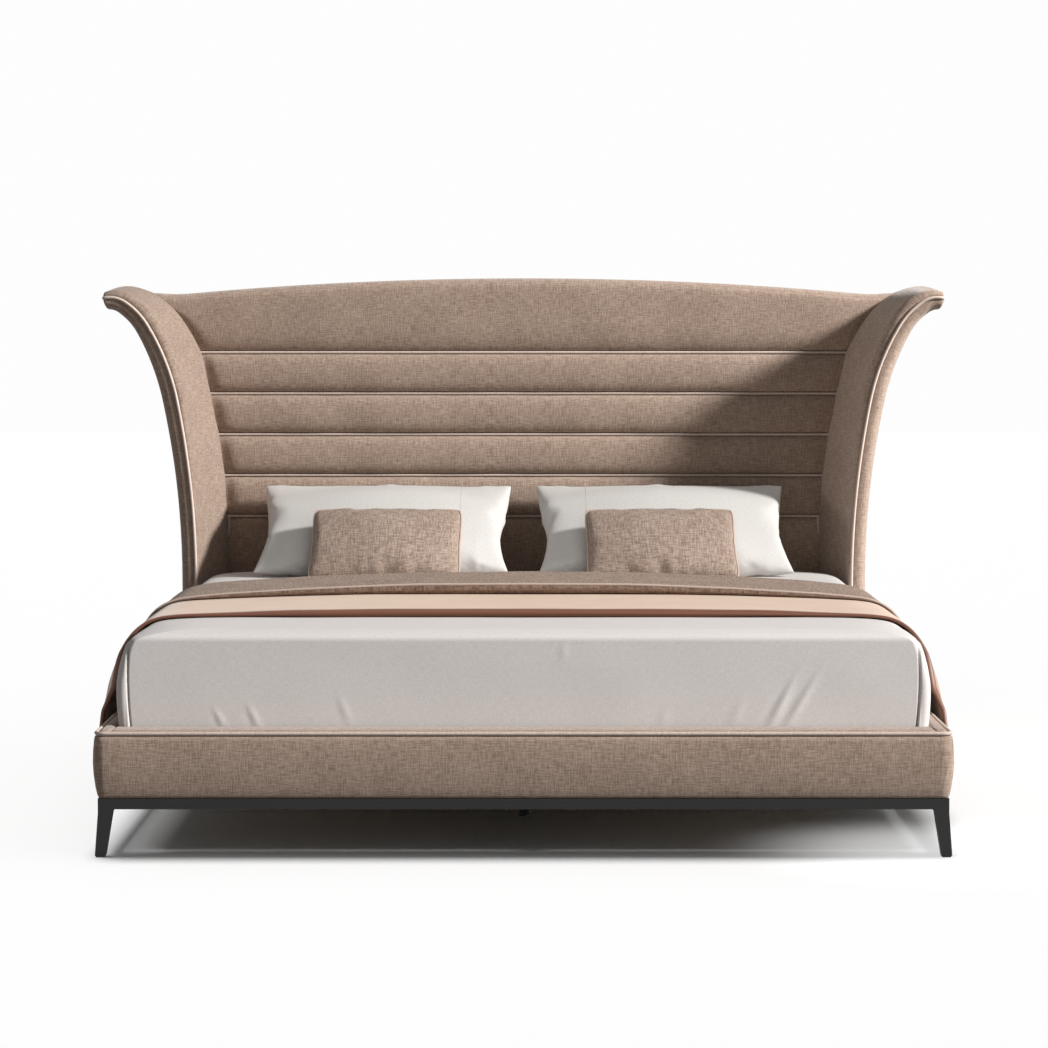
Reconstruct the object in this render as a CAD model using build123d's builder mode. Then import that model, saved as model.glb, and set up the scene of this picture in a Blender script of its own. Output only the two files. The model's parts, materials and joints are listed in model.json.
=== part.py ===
"""Upholstered bed with a winged, channelled headboard, bedding and slatted base, in millimetres.

The origin lies on the floor at the middle of the bed. The foot end is at -Y, the headboard at +Y.
"""
from math import cos, radians, sin, sqrt
import os

from build123d import *

os.makedirs("parts", exist_ok=True)

# Driving sizes of the bed, which is made to fit its mattress
mattress_width = 1816.0
mattress_length = 2000.0
mattress_thickness = 282.0
leg_height = 108.0
plinth_height = 24.0
rail_height = 151.0
front_rail_depth = 88.0
side_rail_width = 37.0
headboard_height = 1328.0
headboard_arch = 50.0
headboard_thickness = 80.0
channel_crown = 22.0
wing_depth = 306.0
wing_reach = 254.0

# Room round the mattress
mattress_side_gap = 15.0
mattress_gap = 9.0
mattress_head_gap = 7.0
bed_width = mattress_width + 2 * (mattress_side_gap + side_rail_width)
bed_length = (front_rail_depth + mattress_gap + mattress_length + mattress_head_gap
              + channel_crown + headboard_thickness)

# Clearances, trims and cloth
fit_gap = 0.3
loose_gap = 1.0
cut_overrun = 20.0
piping_radius = 4.2
sheet_thickness = 3.0
blanket_thickness = 18.0
coverlet_thickness = 24.0

# Places that several pieces share
foot_y = -bed_length / 2
head_y = bed_length / 2
half_width = bed_width / 2
rail_bottom = leg_height + plinth_height
rail_top = rail_bottom + rail_height
rail_inner_x = half_width - side_rail_width
front_rail_back_y = foot_y + front_rail_depth
wing_front_y = head_y - wing_depth


def facing(y):
    """A drawing plane across the bed: right is +X and up is +Z."""
    return Plane(origin=(0, y, 0), x_dir=(1, 0, 0), z_dir=(0, -1, 0))


def across(x):
    """A drawing plane along the bed: right is +Y and up is +Z."""
    return Plane.YZ.offset(x)


def block(x_range, y_range, z_range, mode=Mode.ADD):
    """A box between two corners, added to or taken from the part being built."""
    low = (x_range[0], y_range[0], z_range[0])
    size = (x_range[1] - x_range[0], y_range[1] - y_range[0], z_range[1] - z_range[0])
    with Locations(low):
        Box(*size, align=(Align.MIN, Align.MIN, Align.MIN), mode=mode)


def rod(start, direction, radius, length, mode=Mode.ADD):
    """A round bar from a point along a direction, added to or taken from the part being built."""
    with Locations(Plane(origin=start, z_dir=direction)):
        Cylinder(radius, length, align=(Align.CENTER, Align.CENTER, Align.MIN), mode=mode)


def save(builder, name):
    """Label a finished sub-part and write its STEP file."""
    builder.part.label = name
    export_step(builder.part, f"parts/{name}.step")


# Steel plinth of welded tube under the rails
tube_width = 40.0
tube_wall = 2.0
plinth_setback = 6.0
plinth_front_y = foot_y + plinth_setback
plinth_back_y = head_y - plinth_setback
plinth_x = half_width - plinth_setback
plinth_z = (leg_height, rail_bottom)
tube_z = (leg_height + tube_wall, rail_bottom - tube_wall)

with BuildPart() as plinth_front:
    block((-plinth_x, plinth_x), (plinth_front_y, plinth_front_y + tube_width), plinth_z)
    bore_y = (plinth_front_y + tube_wall, plinth_front_y + tube_width - tube_wall)
    block((tube_wall - plinth_x, plinth_x - tube_wall), bore_y, tube_z, mode=Mode.SUBTRACT)
save(plinth_front, "plinth_front")

with BuildPart() as plinth_rear:
    block((-plinth_x, plinth_x), (plinth_back_y - tube_width, plinth_back_y), plinth_z)
    bore_y = (plinth_back_y - tube_width + tube_wall, plinth_back_y - tube_wall)
    block((tube_wall - plinth_x, plinth_x - tube_wall), bore_y, tube_z, mode=Mode.SUBTRACT)
save(plinth_rear, "plinth_rear")

with BuildPart() as plinth_sides:
    side_y = (plinth_front_y + tube_width, plinth_back_y - tube_width)
    block((plinth_x - tube_width, plinth_x), side_y, plinth_z)
    side_bore_x = (plinth_x - tube_width + tube_wall, plinth_x - tube_wall)
    block(side_bore_x, side_y, tube_z, mode=Mode.SUBTRACT)
    mirror(about=Plane.YZ)
save(plinth_sides, "plinth_sides")

# Tapered legs, welded under the plinth's corners and splayed outwards
leg_root = 37.0
leg_neck = 32.0
leg_neck_drop = 8.0
leg_foot = 24.0
leg_splay = 7.0
leg_toe_in = 3.0
glide_height = 3.0
glide_inset = 2.0
leg_sections = (
    (leg_height, leg_root, 0.0, 0.0),
    (leg_height - leg_neck_drop, leg_neck, 0.0, 0.0),
    (glide_height, leg_foot, leg_splay, leg_toe_in),
)


def leg_blade(side, end):
    """One leg at a corner: side is -1 or 1 along X, end is -1 at the foot and 1 at the head."""
    with BuildPart() as leg:
        for z, size, splay, toe in leg_sections:
            centre_x = side * (plinth_x + splay - size / 2)
            centre_y = end * (plinth_back_y + toe - size / 2)
            with BuildSketch(Plane.XY.offset(z)):
                with Locations((centre_x, centre_y)):
                    Rectangle(size, size)
        loft(ruled=True)
    return leg


leg_corners = {
    "leg_front_left": (-1, -1),
    "leg_front_right": (1, -1),
    "leg_rear_left": (-1, 1),
    "leg_rear_right": (1, 1),
}
for leg_name, corner in leg_corners.items():
    save(leg_blade(*corner), leg_name)

glide_size = leg_foot - 2 * glide_inset
glide_x = plinth_x + leg_splay - leg_foot / 2
glide_y = plinth_back_y + leg_toe_in - leg_foot / 2
with BuildPart() as leg_glides:
    with GridLocations(2 * glide_x, 2 * glide_y, 2, 2):
        Box(glide_size, glide_size, glide_height, align=(Align.CENTER, Align.CENTER, Align.MIN))
save(leg_glides, "leg_glides")

# Rails: timber cores inside foam and fabric covers
face_padding = 14.0
top_padding = 12.0
back_padding = 6.0
side_inner_padding = 8.0
side_outer_padding = 9.0
rail_end_round = 12.0
piping_seat = 2 * piping_radius + (piping_radius + fit_gap) * sqrt(2)
core_top = rail_top - top_padding
face_back_y = foot_y + face_padding
front_core_y = (face_back_y, front_rail_back_y - back_padding)
side_core_x = (rail_inner_x + side_inner_padding, half_width - side_outer_padding)

# Bolts with round heads, used at every bolted joint of the base and headboard
bolt_radius = 4.0
bolt_length = 55.0
bolt_head_radius = 7.5
bolt_head_height = 4.0
bolt_hole_radius = bolt_radius + fit_gap


def bolt(seat, direction, length=bolt_length):
    """A bolt whose head bears on seat and whose shank runs along direction."""
    rod(seat, direction, bolt_radius, length)
    rod(seat, tuple(-part for part in direction), bolt_head_radius, bolt_head_height)


def bolt_holes(seats, length=bolt_length):
    """Clearance holes for bolts, taken from the part being built."""
    for seat, direction in seats:
        rod(seat, direction, bolt_hole_radius, length + fit_gap, mode=Mode.SUBTRACT)


# Head rail: the timber cross board of the base behind the mattress
headboard_frame_depth = 45.0
back_cover_depth = 6.0
head_rail_depth = 28.0
post_front_y = head_y - back_cover_depth - headboard_frame_depth
head_rail_y = (post_front_y - head_rail_depth, post_front_y)
head_rail_x = rail_inner_x - fit_gap

# Steel angle brackets inside the four corners of the base
bracket_leg = 62.0
bracket_plate = 4.0
bracket_height = 56.0
bracket_rise = 7.0
bracket_z = (rail_bottom + bracket_rise, rail_bottom + bracket_rise + bracket_height)
bracket_bolt_step = 32.0
bracket_bolt_x = rail_inner_x - bracket_leg / 2 - bracket_plate
bracket_bolt_reach = bracket_leg / 2 + bracket_plate
bracket_bolt_z = sum(bracket_z) / 2
bracket_bolt_length = 22.0
front_bolt_seats = []
head_bolt_seats = []
side_bolt_seats = []
for side in (-1, 1):
    for lift in (-bracket_bolt_step / 2, bracket_bolt_step / 2):
        z = bracket_bolt_z + lift
        front_seat = (side * bracket_bolt_x, front_rail_back_y + bracket_plate, z)
        front_bolt_seats.append((front_seat, (0, -1, 0)))
        head_seat = (side * bracket_bolt_x, head_rail_y[0] - bracket_plate, z)
        head_bolt_seats.append((head_seat, (0, 1, 0)))
        for bolt_y in (front_rail_back_y + bracket_bolt_reach, head_rail_y[0] - bracket_bolt_reach):
            side_seat = (side * (rail_inner_x - bracket_plate), bolt_y, z)
            side_bolt_seats.append((side_seat, (side, 0, 0)))

with BuildPart() as corner_brackets:
    for inner_y, inward in ((front_rail_back_y, 1), (head_rail_y[0], -1)):
        along = sorted((inner_y, inner_y + inward * bracket_leg))
        plate = sorted((inner_y, inner_y + inward * bracket_plate))
        block((rail_inner_x - bracket_leg, rail_inner_x - fit_gap), plate, bracket_z)
        block((rail_inner_x - bracket_plate, rail_inner_x), along, bracket_z)
    mirror(about=Plane.YZ)
    bolt_holes(front_bolt_seats + head_bolt_seats + side_bolt_seats, bracket_bolt_length)
save(corner_brackets, "corner_brackets")

with BuildPart() as bracket_bolts:
    for seat, direction in front_bolt_seats + head_bolt_seats + side_bolt_seats:
        bolt(seat, direction, bracket_bolt_length)
save(bracket_bolts, "bracket_bolts")

# Centre beam and the hangers that carry it at both ends
beam_width = 60.0
beam_height = 40.0
beam_wall = 2.5
slat_seat_drop = 83.0
slat_seat_z = rail_top - slat_seat_drop
beam_z = (slat_seat_z - beam_height, slat_seat_z)
hanger_plate = 4.0
hanger_side = 15.0
hanger_tongue = 34.0
beam_y = (front_rail_back_y + hanger_plate + loose_gap, head_rail_y[0] - hanger_plate - loose_gap)

with BuildPart() as centre_beam:
    block((-beam_width / 2, beam_width / 2), beam_y, beam_z)
    bore_x = beam_width / 2 - beam_wall
    block((-bore_x, bore_x), beam_y, (beam_z[0] + beam_wall, beam_z[1] - beam_wall), mode=Mode.SUBTRACT)
save(centre_beam, "centre_beam")

with BuildPart() as beam_hangers:
    hanger_x = beam_width / 2 + hanger_side
    for inner_y, inward in ((front_rail_back_y, 1), (head_rail_y[0], -1)):
        plate = sorted((inner_y, inner_y + inward * hanger_plate))
        tongue = sorted((inner_y, inner_y + inward * hanger_tongue))
        block((-hanger_x, hanger_x), plate, (beam_z[0] - hanger_plate, beam_z[1]))
        block((-hanger_x, hanger_x), tongue, (beam_z[0] - hanger_plate, beam_z[0]))
save(beam_hangers, "beam_hangers")

# One length of piping round the top outer edge of the three rails
piping_x = half_width - piping_radius
piping_y = foot_y + piping_radius
piping_z = rail_top - piping_radius
piping_end_y = wing_front_y - loose_gap
piping_turn = 12.0
with BuildLine(Plane.XY.offset(piping_z)) as rail_piping_path:
    FilletPolyline((-piping_x, piping_end_y), (-piping_x, piping_y), (piping_x, piping_y),
                   (piping_x, piping_end_y), radius=piping_turn)


def rail_tube(radius):
    """A tube of this radius along the rails' piping line."""
    with BuildPart() as tube:
        with BuildSketch(Plane(origin=rail_piping_path.line @ 0, z_dir=rail_piping_path.line % 0)):
            Circle(radius)
        sweep(path=rail_piping_path.line)
    return tube


save(rail_tube(piping_radius), "rail_piping")


def piping_wedge(plane, edge, inward):
    """The slice taken off a rail's top outer edge, where its piping lies."""
    with BuildSketch(plane) as wedge:
        with BuildLine():
            Polyline((edge, rail_top), (edge + inward * piping_seat, rail_top),
                     (edge, rail_top - piping_seat), close=True)
        make_face()
    return wedge.sketch


# Front rail
with BuildPart() as front_rail_core:
    block((-head_rail_x, head_rail_x), front_core_y, (rail_bottom, core_top))
    bolt_holes(front_bolt_seats, bracket_bolt_length)
save(front_rail_core, "front_rail_core")

with BuildPart() as front_rail_cover:
    block((-half_width, half_width), (foot_y, face_back_y), (rail_bottom, rail_top))
    fillet(edges().filter_by(Axis.Z).group_by(Axis.Y)[0], rail_end_round)
    block((-head_rail_x, head_rail_x), (face_back_y, front_rail_back_y), (rail_bottom, rail_top))
    front_pocket_z = (rail_bottom, core_top)
    block((-head_rail_x, head_rail_x), front_core_y, front_pocket_z, mode=Mode.SUBTRACT)
    bolt_holes(front_bolt_seats, bracket_bolt_length)
    extrude(piping_wedge(across(-half_width), foot_y, 1), amount=bed_width, mode=Mode.SUBTRACT)
    for side in (-1, 1):
        wedge = piping_wedge(facing(face_back_y), side * half_width, -side)
        extrude(wedge, amount=face_padding, mode=Mode.SUBTRACT)
    add(rail_tube(piping_radius + fit_gap).part, mode=Mode.SUBTRACT)
save(front_rail_cover, "front_rail_cover")

# Side rails, which run from the front face to the back of the headboard
with BuildPart() as side_rail_core_right:
    block(side_core_x, (face_back_y, head_y - back_cover_depth), (rail_bottom, core_top))
    bolt_holes(side_bolt_seats, bracket_bolt_length)
save(side_rail_core_right, "side_rail_core_right")

with BuildPart() as side_rail_cover_right:
    side_y = (face_back_y, head_y)
    block((rail_inner_x, half_width), side_y, (rail_bottom, rail_top))
    block(side_core_x, (face_back_y, head_y - back_cover_depth), (rail_bottom, core_top), mode=Mode.SUBTRACT)
    bolt_holes(side_bolt_seats, bracket_bolt_length)
    wedge = piping_wedge(facing(wing_front_y), half_width, -1)
    extrude(wedge, amount=wing_front_y - foot_y, mode=Mode.SUBTRACT)
save(side_rail_cover_right, "side_rail_cover_right")

with BuildPart() as side_rail_core_left:
    mirror(side_rail_core_right.part, about=Plane.YZ)
save(side_rail_core_left, "side_rail_core_left")

with BuildPart() as side_rail_cover_left:
    mirror(side_rail_cover_right.part, about=Plane.YZ)
save(side_rail_cover_left, "side_rail_cover_left")

# Slat ledges: steel angles along the side rails
ledge_leg = 30.0
ledge_plate = 3.0
ledge_end_gap = 4.0
ledge_y = (front_rail_back_y + bracket_leg + ledge_end_gap, head_rail_y[0] - bracket_leg - ledge_end_gap)
with BuildPart() as slat_ledge_right:
    block((rail_inner_x - ledge_leg, rail_inner_x), ledge_y, (slat_seat_z - ledge_plate, slat_seat_z))
    block((rail_inner_x - ledge_plate, rail_inner_x), ledge_y, (slat_seat_z - ledge_leg, slat_seat_z))
save(slat_ledge_right, "slat_ledge_right")

with BuildPart() as slat_ledge_left:
    mirror(slat_ledge_right.part, about=Plane.YZ)
save(slat_ledge_left, "slat_ledge_left")

# Two rows of sprung slats, their ends in plastic holders
slat_count = 14
slat_width = 68.0
slat_thickness = 10.0
slat_camber = 3.0
slat_end_margin = 8.0
holder_wall = 3.0
holder_side_wall = 4.0
holder_depth = 29.0
holder_grip = 24.0
slat_room = ledge_y[1] - ledge_y[0] - slat_width - 2 * slat_end_margin
slat_pitch = slat_room / (slat_count - 1)
slat_mid_y = (ledge_y[0] + ledge_y[1]) / 2
slat_z = slat_seat_z + holder_wall
holder_top = slat_z + slat_thickness + holder_wall
slat_inner_x = beam_width / 2 - holder_grip
slat_outer_x = rail_inner_x - holder_depth + holder_grip
slat_mid_x = (slat_inner_x + slat_outer_x) / 2
mattress_bottom = holder_top + fit_gap


def slat_profile(plane):
    """The gently arched side view of one slat."""
    upper_z = slat_z + slat_thickness
    with BuildSketch(plane) as profile:
        with BuildLine():
            ThreePointArc((slat_inner_x, slat_z), (slat_mid_x, slat_z + slat_camber), (slat_outer_x, slat_z))
            Line((slat_outer_x, slat_z), (slat_outer_x, upper_z))
            ThreePointArc((slat_outer_x, upper_z), (slat_mid_x, upper_z + slat_camber),
                          (slat_inner_x, upper_z))
            Line((slat_inner_x, upper_z), (slat_inner_x, slat_z))
        make_face()
    return profile.sketch


slat_rows = [slat_mid_y + (row - (slat_count - 1) / 2) * slat_pitch for row in range(slat_count)]
with BuildPart() as slats_right:
    for row_y in slat_rows:
        extrude(slat_profile(facing(row_y + slat_width / 2)), amount=slat_width)
save(slats_right, "slats_right")

with BuildPart() as slats_left:
    mirror(slats_right.part, about=Plane.YZ)
save(slats_left, "slats_left")

holder_y_size = slat_width + 2 * (holder_side_wall + fit_gap)
pocket_y_size = slat_width + 2 * fit_gap
holder_z = (slat_seat_z, holder_top)
pocket_z = (slat_z - fit_gap, slat_z + slat_thickness + loose_gap)
with BuildPart() as side_slat_holders:
    for row_y in slat_rows:
        holder_y = (row_y - holder_y_size / 2, row_y + holder_y_size / 2)
        pocket_y = (row_y - pocket_y_size / 2, row_y + pocket_y_size / 2)
        holder_x = rail_inner_x - fit_gap - holder_depth
        block((holder_x, rail_inner_x - fit_gap), holder_y, holder_z)
        block((holder_x, slat_outer_x + fit_gap), pocket_y, pocket_z, mode=Mode.SUBTRACT)
    mirror(about=Plane.YZ)
save(side_slat_holders, "side_slat_holders")

with BuildPart() as centre_slat_holders:
    for row_y in slat_rows:
        holder_y = (row_y - holder_y_size / 2, row_y + holder_y_size / 2)
        pocket_y = (row_y - pocket_y_size / 2, row_y + pocket_y_size / 2)
        block((-beam_width / 2, beam_width / 2), holder_y, holder_z)
        block((slat_inner_x - fit_gap, beam_width / 2), pocket_y, pocket_z, mode=Mode.SUBTRACT)
        block((-beam_width / 2, fit_gap - slat_inner_x), pocket_y, pocket_z, mode=Mode.SUBTRACT)
save(centre_slat_holders, "centre_slat_holders")

# Centre support legs with screw-in feet
support_radius = 12.5
support_setback_shares = {"front": 0.2965, "rear": 0.651}
support_plate = 58.0
support_plate_height = 4.0
support_foot_height = 8.0
support_foot_gap = 3.0
stud_radius = 5.0
stud_length = 40.0
stud_clearance = 0.1
support_bottom = support_foot_height + support_foot_gap
for end_name, setback_share in support_setback_shares.items():
    centre = (0, foot_y + setback_share * bed_length)
    with BuildPart() as support_leg:
        with BuildSketch(Plane.XY.offset(support_bottom)):
            with Locations(centre):
                Circle(support_radius)
        extrude(amount=beam_z[0] - support_plate_height - support_bottom)
        with BuildSketch(Plane.XY.offset(beam_z[0] - support_plate_height)):
            with Locations(centre):
                Rectangle(support_plate, support_plate)
        extrude(amount=support_plate_height)
        with BuildSketch(Plane.XY.offset(support_bottom)):
            with Locations(centre):
                Circle(stud_radius + stud_clearance)
        extrude(amount=stud_length + loose_gap, mode=Mode.SUBTRACT)
    save(support_leg, f"support_leg_{end_name}")

    with BuildPart() as support_foot:
        with BuildSketch(Plane.XY):
            with Locations(centre):
                Circle(support_radius)
        extrude(amount=support_foot_height)
        with BuildSketch(Plane.XY.offset(support_foot_height)):
            with Locations(centre):
                Circle(stud_radius)
        extrude(amount=support_foot_gap + stud_length)
    save(support_foot, f"support_foot_{end_name}")

# Wing edge: the flared line of each wing's front inner corner, as X and Z of the right wing
wing_edge_inset = 42.0
wing_edge_x = half_width - wing_edge_inset
wing_tip_drop = 58.0
wing_edge_rise = headboard_height - wing_tip_drop - rail_top
wing_straight_rise = 192.0
wing_bend_shares = ((0.2, 0.712), (0.52, 0.923), (0.775, 0.989), (1.0, 1.0))


def draw_wing_edge():
    """A straight foot and four tangent arcs, drawn on the plane in use."""
    stretch = Line((wing_edge_x, rail_top), (wing_edge_x, rail_top + wing_straight_rise))
    for out_share, up_share in wing_bend_shares:
        end = (wing_edge_x + out_share * wing_reach, rail_top + up_share * wing_edge_rise)
        stretch = TangentArc(stretch @ 1, end, tangent=stretch % 1)


with BuildLine() as wing_edge_sketch:
    draw_wing_edge()
wing_edge = wing_edge_sketch.wires()[0]

# Sections across the wing: place along the edge, band width, roll, and the roll's shoulder as shares
wing_band = 38.0
wing_roll = 70.0
wing_core_front = 14.0
pad_back_inset = 60.0
wing_seam_depth = wing_depth - headboard_thickness
wing_pad_depth = wing_depth - pad_back_inset
wing_shoulder_depth = 105.0
wing_station_shares = (
    (0.0, 1.0, 1.0, 0.05),
    (0.177, 1.0, 1.0, 0.05),
    (0.45, 0.98, 1.14, 0.08),
    (0.65, 1.1, 1.08, 0.14),
    (0.76, 1.08, 1.17, 0.2),
    (0.855, 1.0, 1.1, 0.28),
    (0.905, 0.92, 0.94, 0.36),
    (0.945, 0.82, 0.62, 0.45),
    (0.98, 0.64, 0.27, 0.5),
    (1.0, 0.52, 0.14, 0.5),
)
core_inner_share = 0.13
wing_panel_thickness = 5.0
shoulder_bow_share = 0.55
bow_depth_share = 0.62


def wing_plane(edge_share):
    """A plane across the wing edge: right points out of the wing, up points to the headboard."""
    point = wing_edge @ edge_share
    way = wing_edge % edge_share
    return Plane(origin=(point.X, wing_front_y, point.Y), x_dir=(way.Y, 0, -way.X), z_dir=(way.X, 0, way.Y))


def pad_section(plane, band, roll, shoulder_share):
    """Foam and fabric in front of and inside the wing's core."""
    outer = band - wing_panel_thickness - fit_gap
    inner = core_inner_share * band
    shoulder = (-shoulder_share * roll, wing_shoulder_depth)
    seam = (-roll, wing_seam_depth)
    bow = (-(shoulder_share + shoulder_bow_share * (1 - shoulder_share)) * roll,
           wing_shoulder_depth + (wing_seam_depth - wing_shoulder_depth) * bow_depth_share)
    lift = (fit_gap - shoulder_share * roll / 2, wing_shoulder_depth / 2)
    with BuildSketch(plane) as section:
        with BuildLine():
            Polyline((0, 0), (outer, 0), (outer, wing_core_front - fit_gap),
                     (inner - fit_gap, wing_core_front - fit_gap),
                     (inner - fit_gap, wing_pad_depth), (-roll, wing_pad_depth), seam)
            ThreePointArc(seam, bow, shoulder)
            ThreePointArc(shoulder, lift, (0, 0))
        make_face()
    return section.sketch


def strip_section(plane, inner, outer, front, back):
    """A plain strip across the wing's band, from one depth to another."""
    with BuildSketch(plane) as section:
        with BuildLine():
            Polyline((inner, front), (outer, front), (outer, back), (inner, back), close=True)
        make_face()
    return section.sketch


with BuildPart() as wing_pad_right:
    sections = [pad_section(wing_plane(edge_share), band_share * wing_band, roll_share * wing_roll,
                            shoulder_share)
                for edge_share, band_share, roll_share, shoulder_share in wing_station_shares]
    loft(sections, ruled=True)
save(wing_pad_right, "wing_pad_right")

# Bolts that hold each wing's core to its headboard post
post_width = 54.0
post_top_drop = 128.0
post_top = headboard_height - post_top_drop
post_x = (rail_inner_x - fit_gap - post_width, rail_inner_x - fit_gap)
post_y = (post_front_y, head_y - back_cover_depth)
wing_bolt_rises = (80.0, 125.0, 170.0)
wing_bolt_length = 74.0
wing_bolt_y = sum(post_y) / 2
wing_bolt_seats = [((side * post_x[0], wing_bolt_y, rail_top + rise), (side, 0, 0))
                   for side in (-1, 1) for rise in wing_bolt_rises]

with BuildPart() as wing_core_right:
    sections = [strip_section(wing_plane(edge_share), core_inner_share * band_share * wing_band,
                              band_share * wing_band - wing_panel_thickness - fit_gap,
                              wing_core_front, wing_depth - back_cover_depth)
                for edge_share, band_share, roll_share, shoulder_share in wing_station_shares]
    loft(sections, ruled=True)
    bolt_holes(wing_bolt_seats, wing_bolt_length)
save(wing_core_right, "wing_core_right")

with BuildPart() as wing_outer_panel_right:
    sections = [strip_section(wing_plane(edge_share), band_share * wing_band - wing_panel_thickness,
                              band_share * wing_band, 0, wing_depth)
                for edge_share, band_share, roll_share, shoulder_share in wing_station_shares]
    loft(sections, ruled=True)
save(wing_outer_panel_right, "wing_outer_panel_right")

for name, right_part in (("wing_pad_left", wing_pad_right), ("wing_core_left", wing_core_right),
                         ("wing_outer_panel_left", wing_outer_panel_right)):
    with BuildPart() as wing_piece_left:
        mirror(right_part.part, about=Plane.YZ)
    save(wing_piece_left, name)
    if name == "wing_pad_left":
        wing_pad_left = wing_piece_left

with BuildPart() as wing_bolts:
    for seat, direction in wing_bolt_seats:
        bolt(seat, direction, wing_bolt_length)
save(wing_bolts, "wing_bolts")

# Piping along the front edge of each wing, just in front of the pad
wing_piping_line = wing_edge.moved(facing(wing_front_y - piping_radius - fit_gap).location)
with BuildPart() as wing_piping:
    with BuildSketch(Plane(origin=wing_piping_line @ 0, z_dir=wing_piping_line % 0)):
        Circle(piping_radius)
    sweep(path=wing_piping_line)
    mirror(about=Plane.YZ)
save(wing_piping, "wing_piping")

# Headboard: posts, rails and board inside, pads and back cover outside
seam_y = head_y - headboard_thickness
pad_back_y = head_y - pad_back_inset
board_y = (pad_back_y, post_front_y)
top_pad_rise = 22.0
channel_pitch_share = 0.0881
channel_pitch = channel_pitch_share * headboard_height
channel_count = 4
first_seam_drop = 212.0
first_seam_z = headboard_height - first_seam_drop
arch_overreach = 107.0
arch_reach = wing_edge_x + arch_overreach
arch_radius = (arch_reach ** 2 + headboard_arch ** 2) / (2 * headboard_arch)
outline_overrun = 200.0


def arch_z(x, drop=0.0):
    """Height of the headboard's arched top edge, or of a line a drop below it."""
    return headboard_height - drop - arch_radius + sqrt(arch_radius ** 2 - x ** 2)


def headboard_outline(plane, bottom, drop):
    """Everything between the two wing edges, from bottom up to a line a drop below the arched top."""
    tip = wing_edge @ 1
    arch_end = arch_z(tip.X, drop)
    with BuildSketch(plane) as outline:
        with BuildLine():
            draw_wing_edge()
            Polyline((tip.X, tip.Y), (tip.X, headboard_height + outline_overrun),
                     (0, headboard_height + outline_overrun), (0, rail_top), (wing_edge_x, rail_top))
        make_face()
        mirror(about=Plane.YZ)
        with BuildLine():
            ThreePointArc((-tip.X, arch_end), (0, headboard_height - drop), (tip.X, arch_end))
            Polyline((tip.X, arch_end), (tip.X, bottom), (-tip.X, bottom), (-tip.X, arch_end))
        make_face(mode=Mode.INTERSECT)
    return outline.sketch


head_bolt_length = 60.0
head_bolt_rise_shares = (0.58, 0.87)
post_mid_x = sum(post_x) / 2
post_bolt_seats = [((side * post_mid_x, head_rail_y[0], rail_bottom + rise_share * rail_height), (0, 1, 0))
                   for side in (-1, 1) for rise_share in head_bolt_rise_shares]

with BuildPart() as head_rail:
    block((-head_rail_x, head_rail_x), head_rail_y, (rail_bottom, rail_top))
    bolt_holes(post_bolt_seats, head_bolt_length)
    bolt_holes(head_bolt_seats, bracket_bolt_length)
save(head_rail, "head_rail")

with BuildPart() as headboard_post_right:
    block(post_x, post_y, (rail_bottom, post_top))
    bolt_holes(post_bolt_seats, head_bolt_length)
    bolt_holes(wing_bolt_seats, wing_bolt_length)
save(headboard_post_right, "headboard_post_right")

with BuildPart() as headboard_post_left:
    mirror(headboard_post_right.part, about=Plane.YZ)
save(headboard_post_left, "headboard_post_left")

with BuildPart() as headboard_bolts:
    for seat, direction in post_bolt_seats:
        bolt(seat, direction, head_bolt_length)
save(headboard_bolts, "headboard_bolts")

with BuildPart() as headboard_top_rail:
    top_rail_x = post_x[1]
    top_rail_end_z = arch_z(top_rail_x, top_pad_rise)
    with BuildSketch(facing(post_y[1])):
        with BuildLine():
            ThreePointArc((-top_rail_x, top_rail_end_z), (0, headboard_height - top_pad_rise),
                          (top_rail_x, top_rail_end_z))
            Polyline((top_rail_x, top_rail_end_z), (top_rail_x, post_top),
                     (-top_rail_x, post_top), (-top_rail_x, top_rail_end_z))
        make_face()
    extrude(amount=headboard_frame_depth)
save(headboard_top_rail, "headboard_top_rail")

cross_rail_height = 60.0
cross_rail_rise_shares = (0.0, 0.39, 0.7)
with BuildPart() as headboard_cross_rails:
    for rise_share in cross_rail_rise_shares:
        cross_x = post_x[0] - fit_gap
        cross_rail_z = rail_top + rise_share * (post_top - rail_top)
        block((-cross_x, cross_x), post_y, (cross_rail_z, cross_rail_z + cross_rail_height))
save(headboard_cross_rails, "headboard_cross_rails")

with BuildPart() as headboard_board:
    extrude(headboard_outline(facing(board_y[1]), rail_top, top_pad_rise), amount=board_y[1] - board_y[0])
save(headboard_board, "headboard_board")

with BuildPart() as headboard_back_cover:
    extrude(headboard_outline(facing(head_y), rail_top, top_pad_rise), amount=back_cover_depth)
    block((-head_rail_x, head_rail_x), (head_y - back_cover_depth, head_y), (rail_bottom, rail_top))
save(headboard_back_cover, "headboard_back_cover")

# The space between the wings, which limits the pads and their piping
with BuildPart() as pad_room:
    extrude(headboard_outline(facing(pad_back_y), rail_top, 0), amount=wing_seam_depth)


def trim_to_wings():
    """Cut the part being built to the space between the wings."""
    add(pad_room.part, mode=Mode.INTERSECT)
    add(wing_pad_right.part, mode=Mode.SUBTRACT)
    add(wing_pad_left.part, mode=Mode.SUBTRACT)


seam_gap = piping_radius + fit_gap
pad_reach = wing_edge_x + wing_reach


def pad_profile(low, high, crown):
    """The side view of a straight pad, flat behind and rounded in front."""
    with BuildSketch(across(-pad_reach)) as profile:
        with BuildLine():
            Polyline((seam_y, low), (pad_back_y, low), (pad_back_y, high), (seam_y, high))
            ThreePointArc((seam_y, high), (seam_y - crown, (low + high) / 2), (seam_y, low))
        make_face()
    return profile.sketch


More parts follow.
